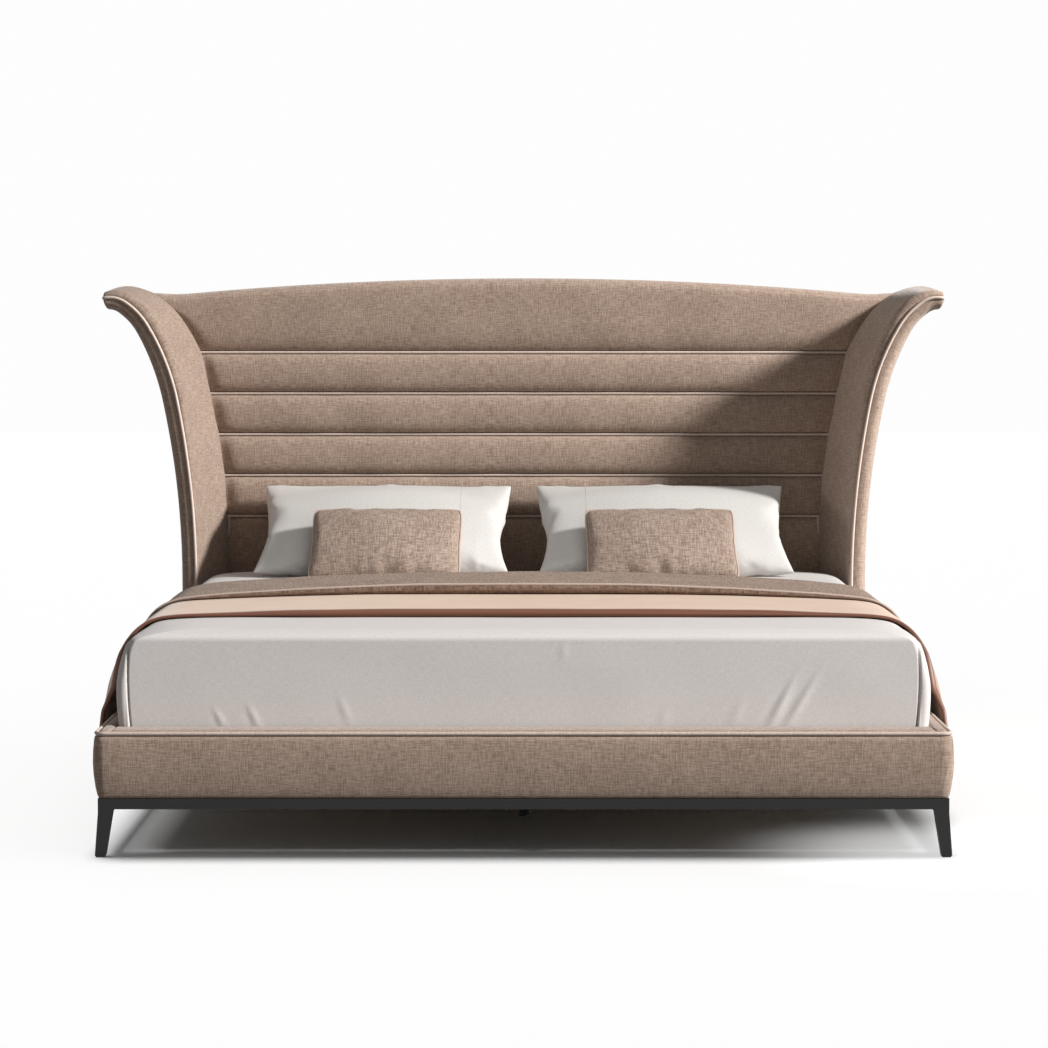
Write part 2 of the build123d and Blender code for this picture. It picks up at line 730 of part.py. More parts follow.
seam_heights = [first_seam_z - row * channel_pitch for row in range(channel_count + 1)]
with BuildPart() as channel_pads:
    for upper, lower in zip(seam_heights, seam_heights[1:]):
        extrude(pad_profile(lower + seam_gap, upper - seam_gap, channel_crown), amount=2 * pad_reach)
    trim_to_wings()
save(channel_pads, "channel_pads")

lower_pad_crown = 14.0
with BuildPart() as headboard_lower_pad:
    extrude(pad_profile(rail_top, seam_heights[-1] - seam_gap, lower_pad_crown), amount=2 * pad_reach)
    trim_to_wings()
save(headboard_lower_pad, "headboard_lower_pad")

piping_line_y = seam_y - piping_radius / 2
with BuildPart() as channel_piping:
    for height in seam_heights:
        rod((-pad_reach, piping_line_y, height), (1, 0, 0), piping_radius, 2 * pad_reach)
    trim_to_wings()
save(channel_piping, "channel_piping")

# Top pad: crowned front, rounded over the top rail, arched along its length
top_round = 30.0
top_back_drop = 5.0
top_station_shares = (-1.0, -0.75, -0.5, -0.25, 0.0, 0.25, 0.5, 0.75, 1.0)
top_pad_low = first_seam_z + seam_gap
top_crown_share = 0.45
top_skirt_drop = 60.0
quarter_mid_share = 1 - sqrt(0.5)
with BuildPart() as headboard_top_pad:
    for station_share in top_station_shares:
        station_x = station_share * pad_reach
        top = arch_z(station_x)
        crown_z = top_pad_low + top_crown_share * (top - top_pad_low)
        shoulder_y = seam_y - channel_crown / 2
        round_mid_y = shoulder_y + top_round * quarter_mid_share
        round_mid_z = top - top_round * quarter_mid_share
        with BuildSketch(across(station_x)):
            with BuildLine():
                Polyline((pad_back_y, top_pad_low), (seam_y, top_pad_low))
                ThreePointArc((seam_y, top_pad_low), (seam_y - channel_crown, crown_z),
                              (shoulder_y, top - top_round))
                ThreePointArc((shoulder_y, top - top_round), (round_mid_y, round_mid_z),
                              (shoulder_y + top_round, top))
                Polyline((shoulder_y + top_round, top), (head_y, top - top_back_drop),
                         (head_y, top - top_skirt_drop), (pad_back_y, top - top_skirt_drop),
                         (pad_back_y, top_pad_low))
            make_face()
    loft(ruled=True)
    frame_outline = headboard_outline(facing(head_y), rail_top, top_pad_rise)
    extrude(frame_outline, amount=head_y - pad_back_y, mode=Mode.SUBTRACT)
    extrude(headboard_outline(facing(head_y), rail_top, 0), amount=wing_depth, mode=Mode.INTERSECT)
    add(wing_pad_right.part, mode=Mode.SUBTRACT)
    add(wing_pad_left.part, mode=Mode.SUBTRACT)
save(headboard_top_pad, "headboard_top_pad")

# Mattress: a crowned block with tight corners at the foot and rounder ones between the wings
foot_corner_round = 50.0
head_corner_round = 120.0
mattress_shoulder = 206.0
mattress_profile_shares = (
    (0.0, 0.068),
    (0.06, 0.03),
    (0.25, 0.015),
    (0.5, 0.0),
    (0.65, 0.0),
    (0.83, 0.024),
    (0.91, 0.087),
    (0.955, 0.218),
    (0.985, 0.437),
    (1.0, 1.0),
)
mattress_mid_y = front_rail_back_y + mattress_gap + mattress_length / 2
sheet_half = mattress_width / 2 + sheet_thickness
sheet_top = mattress_bottom + mattress_thickness + sheet_thickness


def mattress_section(height_share, inset_share, cloth):
    """A level slice of the mattress, with cloth of some thickness round it."""
    inset = inset_share * mattress_shoulder - cloth
    level = mattress_bottom + height_share * (mattress_thickness + cloth)
    with BuildSketch(Plane.XY.offset(level)) as section:
        with Locations((0, mattress_mid_y)):
            Rectangle(mattress_width - 2 * inset, mattress_length - 2 * inset)
        fillet(section.vertices().group_by(Axis.Y)[0], foot_corner_round + cloth)
        fillet(section.vertices().group_by(Axis.Y)[-1], head_corner_round + cloth)
    return section.sketch


with BuildPart() as mattress:
    loft([mattress_section(height_share, inset_share, 0)
          for height_share, inset_share in mattress_profile_shares], ruled=True)
save(mattress, "mattress")

with BuildPart() as fitted_sheet:
    loft([mattress_section(height_share, inset_share, sheet_thickness)
          for height_share, inset_share in mattress_profile_shares[1:]], ruled=True)
    add(mattress.part, mode=Mode.SUBTRACT)
save(fitted_sheet, "fitted_sheet")

# Blanket and coverlet: cloth over the mattress's shoulders that hangs outside the side rails
drape_gap = 1.5
drape_bulge = 12.0
drape_flare = 3.0
shoulder_lean_degrees = (90.0, 82.0, 66.0, 42.0, 18.0)
blanket_side_thickness = 16.0
coverlet_side_thickness = 8.0
blanket_hem_drop = 80.0
coverlet_hem_drop = 55.0
blanket_back_share = 0.4355
blanket_top_front_share = 0.883
blanket_hem_front_share = 0.953
coverlet_back_share = 0.4305
coverlet_front_share = 0.667


def from_head(length_share):
    """Y of a place that lies some share of the mattress's length from the back of the headboard."""
    return head_y - length_share * mattress_length


def drape_points(top_lift, side_lift, hem_z):
    """Half of a cloth's cross-section, from the middle of the bed to the hem, some way off the sheet."""
    points = [(0, sheet_top + top_lift)]
    shoulder = [pair for pair in reversed(mattress_profile_shares)][:len(shoulder_lean_degrees)]
    for (height_share, inset_share), lean in zip(shoulder, shoulder_lean_degrees):
        side_part = 1 - lean / shoulder_lean_degrees[0]
        lift = top_lift + (side_lift - top_lift) * side_part
        height = mattress_bottom + height_share * (mattress_thickness + sheet_thickness)
        points.append((sheet_half - inset_share * mattress_shoulder + lift * cos(radians(lean)),
                       height + lift * sin(radians(lean))))
    rail_point = (half_width + drape_gap + side_lift, rail_top + drape_gap)
    shoulder_end = points[-1]
    middle = ((shoulder_end[0] + rail_point[0]) / 2 + drape_bulge, (shoulder_end[1] + rail_point[1]) / 2)
    return points + [middle, rail_point, (rail_point[0] + drape_flare, hem_z)]


def drape_section(plane, inner_lifts, outer_lifts, hem_z):
    """The cross-section of a cloth that lies over the bed, both halves."""
    inner = drape_points(*inner_lifts, hem_z)
    outer = drape_points(*outer_lifts, hem_z)
    with BuildSketch(plane) as section:
        with BuildLine():
            Polyline(*inner, *reversed(outer), close=True)
        make_face()
        mirror(about=Plane.YZ)
    return section.sketch


blanket_hem_z = rail_top - blanket_hem_drop
with BuildPart() as blanket:
    top_front_y = from_head(blanket_top_front_share)
    hem_front_y = from_head(blanket_hem_front_share)
    blanket_back_y = from_head(blanket_back_share)
    blanket_section = drape_section(facing(blanket_back_y), (fit_gap, fit_gap),
                                    (blanket_thickness, blanket_side_thickness), blanket_hem_z)
    extrude(blanket_section, amount=blanket_back_y - hem_front_y)
    shoulder_z = sheet_top - blanket_thickness
    with BuildSketch(across(-half_width - cut_overrun)):
        with BuildLine():
            Polyline((hem_front_y - cut_overrun, blanket_hem_z - cut_overrun),
                     (hem_front_y, blanket_hem_z - cut_overrun), (hem_front_y, blanket_hem_z),
                     (top_front_y, shoulder_z), (top_front_y, sheet_top + blanket_thickness + cut_overrun),
                     (hem_front_y - cut_overrun, sheet_top + blanket_thickness + cut_overrun), close=True)
        make_face()
    extrude(amount=bed_width + 2 * cut_overrun, mode=Mode.SUBTRACT)
save(blanket, "blanket")

with BuildPart() as coverlet:
    coverlet_front_y = from_head(coverlet_front_share)
    coverlet_back_y = from_head(coverlet_back_share)
    coverlet_section = drape_section(facing(coverlet_back_y),
                                     (blanket_thickness + fit_gap, blanket_side_thickness + fit_gap),
                                     (blanket_thickness + coverlet_thickness,
                                      blanket_side_thickness + coverlet_side_thickness),
                                     rail_top - coverlet_hem_drop)
    extrude(coverlet_section, amount=coverlet_back_y - coverlet_front_y)
save(coverlet, "coverlet")

# Pillows and cushions: stuffed forms with drawn-in sides, each leaning on what is behind it
waist_share = 0.965
stuffed_shares = (
    (-0.5, 1.0, 0.05),
    (-0.46, 0.99, 0.32),
    (-0.36, 0.975, 0.68),
    (-0.18, 0.967, 0.93),
    (0.0, waist_share, 1.0),
    (0.18, 0.967, 0.93),
    (0.36, 0.975, 0.68),
    (0.46, 0.99, 0.32),
    (0.5, 1.0, 0.05),
)
pillow_width = 712.0
pillow_height = 440.0
pillow_thickness = 150.0
pillow_lean_degrees = 33.0
pillow_lean = radians(pillow_lean_degrees)
pillow_gap = 52.0
pillow_offset = (pillow_width + pillow_gap) / 2
cushion_width = 410.0
cushion_height = 250.0
cushion_thickness = 104.0
cushion_lean_degrees = 45.0
cushion_lean = radians(cushion_lean_degrees)
cushion_shift = 6.0
cushion_offset = pillow_offset - cushion_shift
cushion_piping_radius = 3.0
seam_width = 3.0


def side_view(centre, height, thickness, lean, front):
    """The front or back line of a leaning stuffed form, seen from the side, as Y and Z points."""
    facing_way = -1 if front else 1
    points = []
    for up_share, width_share, thick_share in stuffed_shares:
        along = up_share * height
        out = facing_way * thick_share * thickness / 2
        points.append((centre[0] + along * cos(lean) + out * sin(lean),
                       centre[1] + along * sin(lean) - out * cos(lean)))
    return points


def line_y(points, z):
    """Y of a side-view line at a height, or None above or below it."""
    for (y0, z0), (y1, z1) in zip(points, points[1:]):
        if min(z0, z1) <= z <= max(z0, z1) and z0 != z1:
            return y0 + (y1 - y0) * (z - z0) / (z1 - z0)
    return None


def seated_centre(height, thickness, lean, behind, rim_reach=0.0, rim_radius=0.0):
    """Where a stuffed form's centre lies when it rests on the sheet and leans on the line behind it."""
    back = side_view((0, 0), height, thickness, lean, front=False)
    rim_low = -(height / 2 + rim_reach) * sin(lean) - rim_radius
    centre_z = sheet_top + fit_gap - min(rim_low, *(z for y, z in back))
    back = [(y, z + centre_z) for y, z in back]
    room = []
    for y, z in back:
        limit = line_y(behind, z)
        if limit is not None:
            room.append(limit - y)
    for y, z in behind:
        own = line_y(back, z)
        if own is not None:
            room.append(y - own)
    return (min(room) - fit_gap, centre_z)


def stuffed_section(centre_x, centre, up_share, width, thickness, lean):
    """A lens-shaped slice across a stuffed form at some height on it."""
    up = (0, cos(lean), sin(lean))
    origin = (centre_x, centre[0] + up_share * up[1], centre[1] + up_share * up[2])
    seam = seam_width / 2
    with BuildSketch(Plane(origin=origin, x_dir=(1, 0, 0), z_dir=up)) as section:
        with BuildLine():
            Line((-width / 2, -seam), (-width / 2, seam))
            ThreePointArc((-width / 2, seam), (0, thickness / 2), (width / 2, seam))
            Line((width / 2, seam), (width / 2, -seam))
            ThreePointArc((width / 2, -seam), (0, -thickness / 2), (-width / 2, -seam))
        make_face()
    return section.sketch


def stuffed_form(centre_x, centre, width, height, thickness, lean):
    """A pillow or cushion, thickest in the middle, thin at its seams and drawn in at its sides."""
    with BuildPart() as form:
        loft([stuffed_section(centre_x, centre, up_share * height, width_share * width,
                              thick_share * thickness, lean)
              for up_share, width_share, thick_share in stuffed_shares], ruled=True)
    return form


headboard_line = [(seam_y - channel_crown, rail_top), (seam_y - channel_crown, headboard_height)]
pillow_centre = seated_centre(pillow_height, pillow_thickness, pillow_lean, headboard_line)
pillow_line = side_view(pillow_centre, pillow_height, pillow_thickness, pillow_lean, front=True)
piping_offset = cushion_piping_radius + fit_gap
cushion_centre = seated_centre(cushion_height, cushion_thickness, cushion_lean, pillow_line,
                               piping_offset, cushion_piping_radius)
piping_half_width = cushion_width / 2 + piping_offset
piping_half_height = cushion_height / 2 + piping_offset
piping_waist = waist_share * cushion_width / 2 + piping_offset
piping_corner_round = 4.2

for side_name, side in (("left", -1), ("right", 1)):
    pillow = stuffed_form(side * pillow_offset, pillow_centre, pillow_width, pillow_height, pillow_thickness,
                          pillow_lean)
    save(pillow, f"pillow_{side_name}")
    cushion = stuffed_form(side * cushion_offset, cushion_centre, cushion_width, cushion_height,
                           cushion_thickness, cushion_lean)
    save(cushion, f"cushion_{side_name}")
    cushion_plane = Plane(origin=(side * cushion_offset, *cushion_centre), x_dir=(1, 0, 0),
                          z_dir=(0, -sin(cushion_lean), cos(cushion_lean)))
    with BuildLine(cushion_plane) as piping_loop:
        top_line = Line((-piping_half_width, piping_half_height), (piping_half_width, piping_half_height))
        ThreePointArc((piping_half_width, piping_half_height), (piping_waist, 0),
                      (piping_half_width, -piping_half_height))
        Line((piping_half_width, -piping_half_height), (-piping_half_width, -piping_half_height))
        ThreePointArc((-piping_half_width, -piping_half_height), (-piping_waist, 0),
                      (-piping_half_width, piping_half_height))
        fillet(piping_loop.vertices(), piping_corner_round)
    loop = piping_loop.wires()[0]
    with BuildPart() as cushion_piping:
        with BuildSketch(Plane(origin=loop @ 0, z_dir=loop % 0)):
            Circle(cushion_piping_radius)
        sweep(path=loop)
    save(cushion_piping, f"cushion_piping_{side_name}")
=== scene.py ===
# %% [markdown]
# # An upholstered bed with a winged, channelled headboard
#
# A CAD model already fixes where every part of this bed is. This lesson dresses it: each soft part gets
# a form with seams, rolls and folds, and every part gets a finish that follows the real material.
# The first cell loads the CAD model as a fixed frame.

# %% Load the CAD frame
import json
import math

import bmesh
import bpy
import numpy as np
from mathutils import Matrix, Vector, noise

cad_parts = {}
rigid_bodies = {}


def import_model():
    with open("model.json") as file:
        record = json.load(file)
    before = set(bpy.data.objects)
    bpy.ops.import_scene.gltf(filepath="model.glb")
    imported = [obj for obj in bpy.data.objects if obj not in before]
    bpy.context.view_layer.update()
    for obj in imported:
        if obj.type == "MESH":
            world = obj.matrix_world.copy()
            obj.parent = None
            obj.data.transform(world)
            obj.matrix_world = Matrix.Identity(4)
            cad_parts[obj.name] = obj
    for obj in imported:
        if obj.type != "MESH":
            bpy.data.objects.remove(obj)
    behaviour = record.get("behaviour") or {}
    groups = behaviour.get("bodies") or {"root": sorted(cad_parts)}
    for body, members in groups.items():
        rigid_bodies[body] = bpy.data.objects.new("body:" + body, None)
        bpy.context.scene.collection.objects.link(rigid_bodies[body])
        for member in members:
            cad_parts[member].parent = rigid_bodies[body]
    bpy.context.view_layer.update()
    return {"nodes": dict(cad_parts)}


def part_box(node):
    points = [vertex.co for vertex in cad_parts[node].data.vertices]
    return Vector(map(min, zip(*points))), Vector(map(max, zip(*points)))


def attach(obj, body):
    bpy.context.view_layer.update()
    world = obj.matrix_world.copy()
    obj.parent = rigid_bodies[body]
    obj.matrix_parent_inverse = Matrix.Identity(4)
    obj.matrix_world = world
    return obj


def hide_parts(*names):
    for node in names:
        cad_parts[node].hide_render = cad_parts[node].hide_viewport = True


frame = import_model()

bed_nodes = frame["nodes"]

# %% [markdown]
# ## The camera
#
# The photograph was taken from a little above the pillows, straight down the middle of the bed, with a
# long lens that looks slightly down. A turned camera, and not a shifted one, gives the same lines.

# %% Camera
scene = bpy.context.scene


def new_object(name, data):
    """An object that shows its data in the scene."""
    thing = bpy.data.objects.new(name, data)
    scene.collection.objects.link(thing)
    return thing


foot_y = -1.103
camera_distance = 7.4
camera_height = 1.18
camera_pitch_degrees = 3.336
camera_data = bpy.data.cameras.new("photo camera")
camera_data.sensor_width = 36.0
camera_data.lens = 114.32
camera = new_object("photo camera", camera_data)
camera.location = (0.001, foot_y - camera_distance, camera_height)
camera.rotation_euler = (math.radians(90 - camera_pitch_degrees), 0, 0)
scene.camera = camera

# %% [markdown]
# ## Shared shader effects
#
# Cloth, wood and painted metal each repeat one idea: threads, grain, or a fine mottle. Each idea is one
# node group that is built once, so that every material only chooses its own scale and strength. A group
# gives out tones and heights, and the shader itself stays in the material, where an export can read it.


# %% Helpers for nodes
def start_group(kind, name, inputs, outputs):
    """A node group with named sockets: the group, what it is given and what it hands out."""
    group = bpy.data.node_groups.new(name, kind)
    for side, sockets in (("INPUT", inputs), ("OUTPUT", outputs)):
        for label, value_kind in sockets.items():
            group.interface.new_socket(label, in_out=side, socket_type="NodeSocket" + value_kind)
    given = group.nodes.new("NodeGroupInput").outputs
    result = group.nodes.new("NodeGroupOutput").inputs
    return group, given, result


def place(tree, kind, **settings):
    """Add a node. A setting is one of its properties, a value for an input, or a socket to link to it."""
    node = tree.nodes.new(kind)
    for key, value in settings.items():
        if hasattr(node, key):
            setattr(node, key, value)
            continue
        socket = node.inputs[key.replace("_", " ").title()]
        if isinstance(value, bpy.types.NodeSocket):
            tree.links.new(value, socket)
        else:
            socket.default_value = value
    return node


def calculate(tree, operation, first, second=None, third=None):
    """The result of a Math node, where each term is a socket or a number."""
    node = place(tree, "ShaderNodeMath", operation=operation)
    for index, term in enumerate((first, second, third)):
        if term is None:
            continue
        if isinstance(term, (int, float)):
            node.inputs[index].default_value = term
        else:
            tree.links.new(term, node.inputs[index])
    return node.outputs[0]


# %% [markdown]
# ### Woven cloth
#
# A plain weave is two sets of threads at right angles. Real yarn is uneven, so each set is a noise that
# is stretched along its threads, with a slower noise for slubs and dye. The pattern reads the piece's own
# flat cloth coordinates, in metres, so the threads run along the cloth wherever it bends.


# %% Weave group
def build_weave():
    group, given, result = start_group("ShaderNodeTree", "woven threads",
                                       {"Vector": "Vector", "Threads": "Float", "Slub Length": "Float"},
                                       {"Height": "Float", "Tone": "Float", "Mottle": "Float"})
    apart = place(group, "ShaderNodeSeparateXYZ", vector=given["Vector"])
    across, along = [calculate(group, "MULTIPLY", apart.outputs[axis], given["Threads"]) for axis in (0, 1)]
    streaks = []
    for wide, narrow in ((across, along), (along, across)):
        slow = calculate(group, "DIVIDE", wide, given["Slub Length"])
        join = place(group, "ShaderNodeCombineXYZ", x=slow, y=narrow, z=3.7 * len(streaks))
        yarn = place(group, "ShaderNodeTexNoise", vector=join.outputs[0], scale=0.26, detail=3.0,
                     roughness=0.68)
        streaks.append(yarn.outputs["Fac"])
    turns = [calculate(group, "MULTIPLY", part, math.pi) for part in (across, along)]
    check = calculate(group, "MULTIPLY", *[calculate(group, "SINE", turn) for turn in turns])
    yarns = calculate(group, "ADD", *streaks)
    cloud = place(group, "ShaderNodeTexNoise", vector=given["Vector"], scale=9.0, detail=3.0)
    group.links.new(calculate(group, "MULTIPLY_ADD", check, 0.18, yarns), result["Height"])
    group.links.new(calculate(group, "MULTIPLY_ADD", yarns, 2.4, -1.9), result["Tone"])
    group.links.new(cloud.outputs["Fac"], result["Mottle"])
    return group


woven_threads = build_weave()

# %% [markdown]
# ### Wood grain and a fine mottle
#
# Grain is noise drawn out along the board, and powder coat, zinc and moulded plastic share one faint
# mottle that varies tone and gloss. Both read the object's own coordinates.


# %% Grain and mottle groups
def build_grain():
    group, given, result = start_group("ShaderNodeTree", "wood grain",
                                       {"Vector": "Vector", "Stretch": "Vector"},
                                       {"Height": "Float", "Tone": "Float"})
    drawn = place(group, "ShaderNodeVectorMath", operation="MULTIPLY", vector=given["Vector"])
    group.links.new(given["Stretch"], drawn.inputs[1])
    fibres = place(group, "ShaderNodeTexNoise", vector=drawn.outputs[0], scale=60.0, detail=6.0,
                   roughness=0.6, distortion=0.4)
    fibre = fibres.outputs["Fac"]
    group.links.new(fibre, result["Height"])
    group.links.new(calculate(group, "MULTIPLY_ADD", fibre, 1.8, -0.4), result["Tone"])
    return group


def build_mottle():
    group, given, result = start_group("ShaderNodeTree", "fine mottle",
                                       {"Vector": "Vector", "Scale": "Float"},
                                       {"Height": "Float", "Tone": "Float"})
    grain = place(group, "ShaderNodeTexNoise", vector=given["Vector"], scale=given["Scale"], detail=3.0)
    smudge = place(group, "ShaderNodeTexNoise", vector=given["Vector"], scale=6.0, detail=4.0)
    group.links.new(grain.outputs["Fac"], result["Height"])
    group.links.new(smudge.outputs["Fac"], result["Tone"])
    return group


wood_grain = build_grain()
fine_mottle = build_mottle()

# %% [markdown]
# ## Materials
#
# Every material mixes two or three near colours by its group's tones and raises a small bump from the
# group's height. Sheen gives cloth its soft pale edge. Numbers that are the same all over a surface sit
# on the shader's own sockets.


# %% Material helpers
def linear(red, green, blue):
    """A colour as a screen shows it, from 0 to 255, turned into the light that the shader needs."""
    return tuple((part / 255) ** 2.2 for part in (red, green, blue)) + (1.0,)


def start_material(name, roughness, **sockets):
    """A new material with its tree and its shader, and values for the shader's own inputs."""
    material = bpy.data.materials.new(name)
    material.use_nodes = True
    tree = material.node_tree
    shader = tree.nodes["Principled BSDF"]
    shader.inputs["Roughness"].default_value = roughness
    for key, value in sockets.items():
        shader.inputs[key.replace("_", " ").title().replace("Ior", "IOR")].default_value = value
    return material, tree, shader


def read_effect(tree, effect, coordinates, turn=None, **scaling):
    """What a shared group gives at the piece's UV or Object coordinates, turned where turn is given."""
    vector = place(tree, "ShaderNodeTexCoord").outputs[coordinates]
    if turn is not None:
        vector = place(tree, "ShaderNodeMapping", vector=vector, rotation=turn).outputs[0]
    return place(tree, "ShaderNodeGroup", node_tree=effect, vector=vector, **scaling).outputs


def blend_colours(tree, factor, dark, light):
    """The result of a Mix node between two colours, each a socket or a plain colour."""
    mix = place(tree, "ShaderNodeMix", data_type="RGBA", factor=factor)
    for socket, colour in ((mix.inputs[6], dark), (mix.inputs[7], light)):
        if isinstance(colour, tuple):
            socket.default_value = colour
        else:
            tree.links.new(colour, socket)
    return mix.outputs[2]


def coat(tree, shader, colour, height, relief):
    """Give the shader its colour, and a bump that rises by relief metres where height is 1."""
    tree.links.new(colour, shader.inputs["Base Color"])
    bump = place(tree, "ShaderNodeBump", strength=1.0, distance=relief)
    tree.links.new(height, bump.inputs["Height"])
    tree.links.new(bump.outputs[0], shader.inputs["Normal"])


def cloth_material(name, dark, light, threads, slub, relief, roughness=0.85, sheen=0.12,
                   tone_share=1.0, turn=None, edge=None):
    """A woven cloth. It reads the piece's cloth coordinates, or turned object ones where it has none.

    threads counts threads a metre, slub is a slub's length in threads, relief the height in metres.
    edge is a darker colour that is painted as shade on the part of the cloth that the attribute of that name
    marks."""
    material, tree, shader = start_material(name, roughness, sheen_weight=sheen, sheen_roughness=0.5,
                                            specular_ior_level=0.2)
    source = "UV" if turn is None else "Object"
    weave = read_effect(tree, woven_threads, source, turn, threads=threads, slub_length=slub)
    tone = calculate(tree, "MULTIPLY", weave["Tone"], tone_share)
    lowered = calculate(tree, "SUBTRACT", tone, 0.25)
    mottled = calculate(tree, "MULTIPLY_ADD", weave["Mottle"], 0.5, lowered)
    colour = blend_colours(tree, mottled, linear(*dark), linear(*light))
    # Painted shade: where the 'edge' attribute marks the turned front edge, a darker copy of the cloth's
    # colours is used.
    if edge is not None:
        painted_shade_mark = place(tree, "ShaderNodeAttribute", attribute_name="edge")
        shaded = [0.6 * part for part in edge]
        turned = blend_colours(tree, mottled, linear(*shaded), linear(*edge))
        colour = blend_colours(tree, painted_shade_mark.outputs["Fac"], colour, turned)
    coat(tree, shader, colour, weave["Height"], relief)
    return material


frame_weave = cloth_material("frame weave", (131, 110, 95), (173, 152, 137), 1150.0, 8.0, 0.0004, sheen=0.22)
piping_weave = cloth_material("piping cloth", (186, 168, 156), (204, 187, 175), 900.0, 3.0, 0.0001,
                              turn=(0.0, 0.0, 0.6))
backing_weave = cloth_material("backing cloth", (98, 82, 70), (122, 105, 91), 420.0, 9.0, 0.00005)
# The coverlet's edge colour is painted shade on the underside of its rolled front edge.
coverlet_weave = cloth_material("coverlet weave", (104, 84, 71), (170, 149, 134), 640.0, 4.0, 0.0009,
                                sheen=0.04, tone_share=1.15, edge=(134, 109, 93))
# On the coverlet's welt this paler colour is a painted highlight along the crest of its rolled front edge.
welt_weave = cloth_material("welt cloth", (172, 151, 137), (200, 181, 168), 900.0, 3.0, 0.0002)
cushion_weave = cloth_material("cushion weave", (122, 103, 90), (180, 160, 146), 1100.0, 7.0, 0.0004,
                               sheen=0.08)
sheet_weave = cloth_material("sheet cotton", (203, 197, 193), (215, 210, 206), 1500.0, 5.0, 0.00006,
                             sheen=0.04)
pillow_weave = cloth_material("pillow cotton", (197, 193, 188), (209, 206, 201), 1500.0, 4.0, 0.00005,
                              roughness=0.8, sheen=0.04)
ticking_weave = cloth_material("mattress ticking", (205, 203, 200), (232, 231, 229), 500.0, 3.0, 0.0004)


# %% [markdown]
# ### Satin
#
# Satin threads float over several others, so the face is smooth and shines more along one way. The turned
# edge of the blanket is painted a deeper brown as the shade under its roll, and, less strongly, its hanging
# sides are painted darker as shade. Two values that are stored on the cloth drive those changes.


# %% Satin for the blanket
def satin_material():
    material, tree, shader = start_material("blanket satin", 0.45, anisotropic=0.5, sheen_weight=0.1)
    weave = read_effect(tree, woven_threads, "UV", threads=900.0, slub_length=12.0)
    edge = place(tree, "ShaderNodeAttribute", attribute_name="edge")
    hanging = place(tree, "ShaderNodeAttribute", attribute_name="hang")
    colour = blend_colours(tree, weave["Mottle"], linear(210, 180, 156), linear(226, 200, 178))
    # Painted shade: the hanging sides, which the 'hang' value marks, get a darker colour.
    colour = blend_colours(tree, hanging.outputs["Fac"], colour, linear(176, 142, 118))
    # Painted shade: the turned front edge, which the 'edge' value marks, gets a deep brown.
    colour = blend_colours(tree, edge.outputs["Fac"], colour, linear(104, 62, 40))
    coat(tree, shader, colour, weave["Height"], 0.00008)
    return material


blanket_satin = satin_material()


# %% [markdown]
# ### Metal, plastic and wood
#
# These hard materials share one recipe: a group gives the tone and the height, and for metal and plastic
# the gloss varies with the tone as well. A wood's grain is drawn out along the longest side of its board.


# %% Metal, plastic and wood
def hard_material(name, effect, scaling, dark, light, roughness, relief, rough_spread=0.0, **sockets):
    """A hard surface from a shared group, with the group's own scale or stretch."""
    material, tree, shader = start_material(name, roughness, **sockets)
    pattern = read_effect(tree, effect, "Object", **scaling)
    colour = blend_colours(tree, pattern["Tone"], linear(*dark), linear(*light))
    if rough_spread:
        smoothest = roughness - rough_spread / 2
        gloss = calculate(tree, "MULTIPLY_ADD", pattern["Tone"], rough_spread, smoothest)
        tree.links.new(gloss, shader.inputs["Roughness"])
    coat(tree, shader, colour, pattern["Height"], relief)
    return material


coated_steel = hard_material("coated steel", fine_mottle, {"scale": 900.0}, (14, 13, 12), (22, 21, 20),
                             0.5, 0.00005, 0.12, specular_ior_level=0.35)
zinc_steel = hard_material("zinc steel", fine_mottle, {"scale": 250.0}, (150, 152, 154), (178, 180, 182),
                           0.38, 0.00004, 0.15, metallic=1.0)
moulded_plastic = hard_material("moulded plastic", fine_mottle, {"scale": 700.0}, (30, 30, 31), (40, 40, 41),
                                0.55, 0.00006, 0.1)


def wood_material(name, dark, light, stretch, roughness=0.5):
    return hard_material(name, wood_grain, {"stretch": stretch}, dark, light, roughness, 0.0003)


timber_tones = (150, 112, 70), (206, 170, 122)
long_timber = wood_material("timber along X", *timber_tones, (0.06, 1.0, 1.0))
side_timber = wood_material("timber along Y", *timber_tones, (1.0, 0.06, 1.0))
post_timber = wood_material("timber along Z", *timber_tones, (1.0, 1.0, 0.06))
slat_wood = wood_material("slat birch", (196, 158, 108), (226, 196, 150), (0.05, 1.0, 1.0), 0.32)
board_wood = wood_material("plywood", (176, 140, 96), (214, 184, 140), (0.1, 1.0, 0.4))

# %% [markdown]
# ## Finishes for the CAD parts that stay
#
# The steel base, slats, posts and screws have their true shape in the CAD model, so they keep it and only
# take a finish.

# %% Give the CAD parts their finish
node_finishes = {
    coated_steel: ("plinth_", "leg_front_", "leg_rear_", "corner_brackets", "centre_beam", "beam_hangers",
                   "slat_ledge_", "support_leg_"),
    zinc_steel: ("bracket_bolts", "wing_bolts", "headboard_bolts"),
    moulded_plastic: ("leg_glides", "side_slat_holders", "centre_slat_holders", "support_foot_"),
    long_timber: ("front_rail_core", "head_rail", "headboard_top_rail", "headboard_cross_rails"),
    side_timber: ("side_rail_core_",),
    post_timber: ("headboard_post_",),
    slat_wood: ("slats_",),
    board_wood: ("headboard_board", "wing_core_"),
}
finished = []
for finish, starts in node_finishes.items():
    for name, node in bed_nodes.items():
        if name.startswith(starts):
            node.data.materials.clear()
            node.data.materials.append(finish)
            finished.append(name)
print("CAD parts with a finish:", len(finished))

# %% [markdown]
# ## Building cloth forms
#
# Nearly every soft part here is a line of cross-sections with a skin over them: a rail is one section
# swept round three sides, a wing is a section that changes along a curve. One helper joins the sections,
# gives each face its cloth coordinates in metres, and closes the ends.


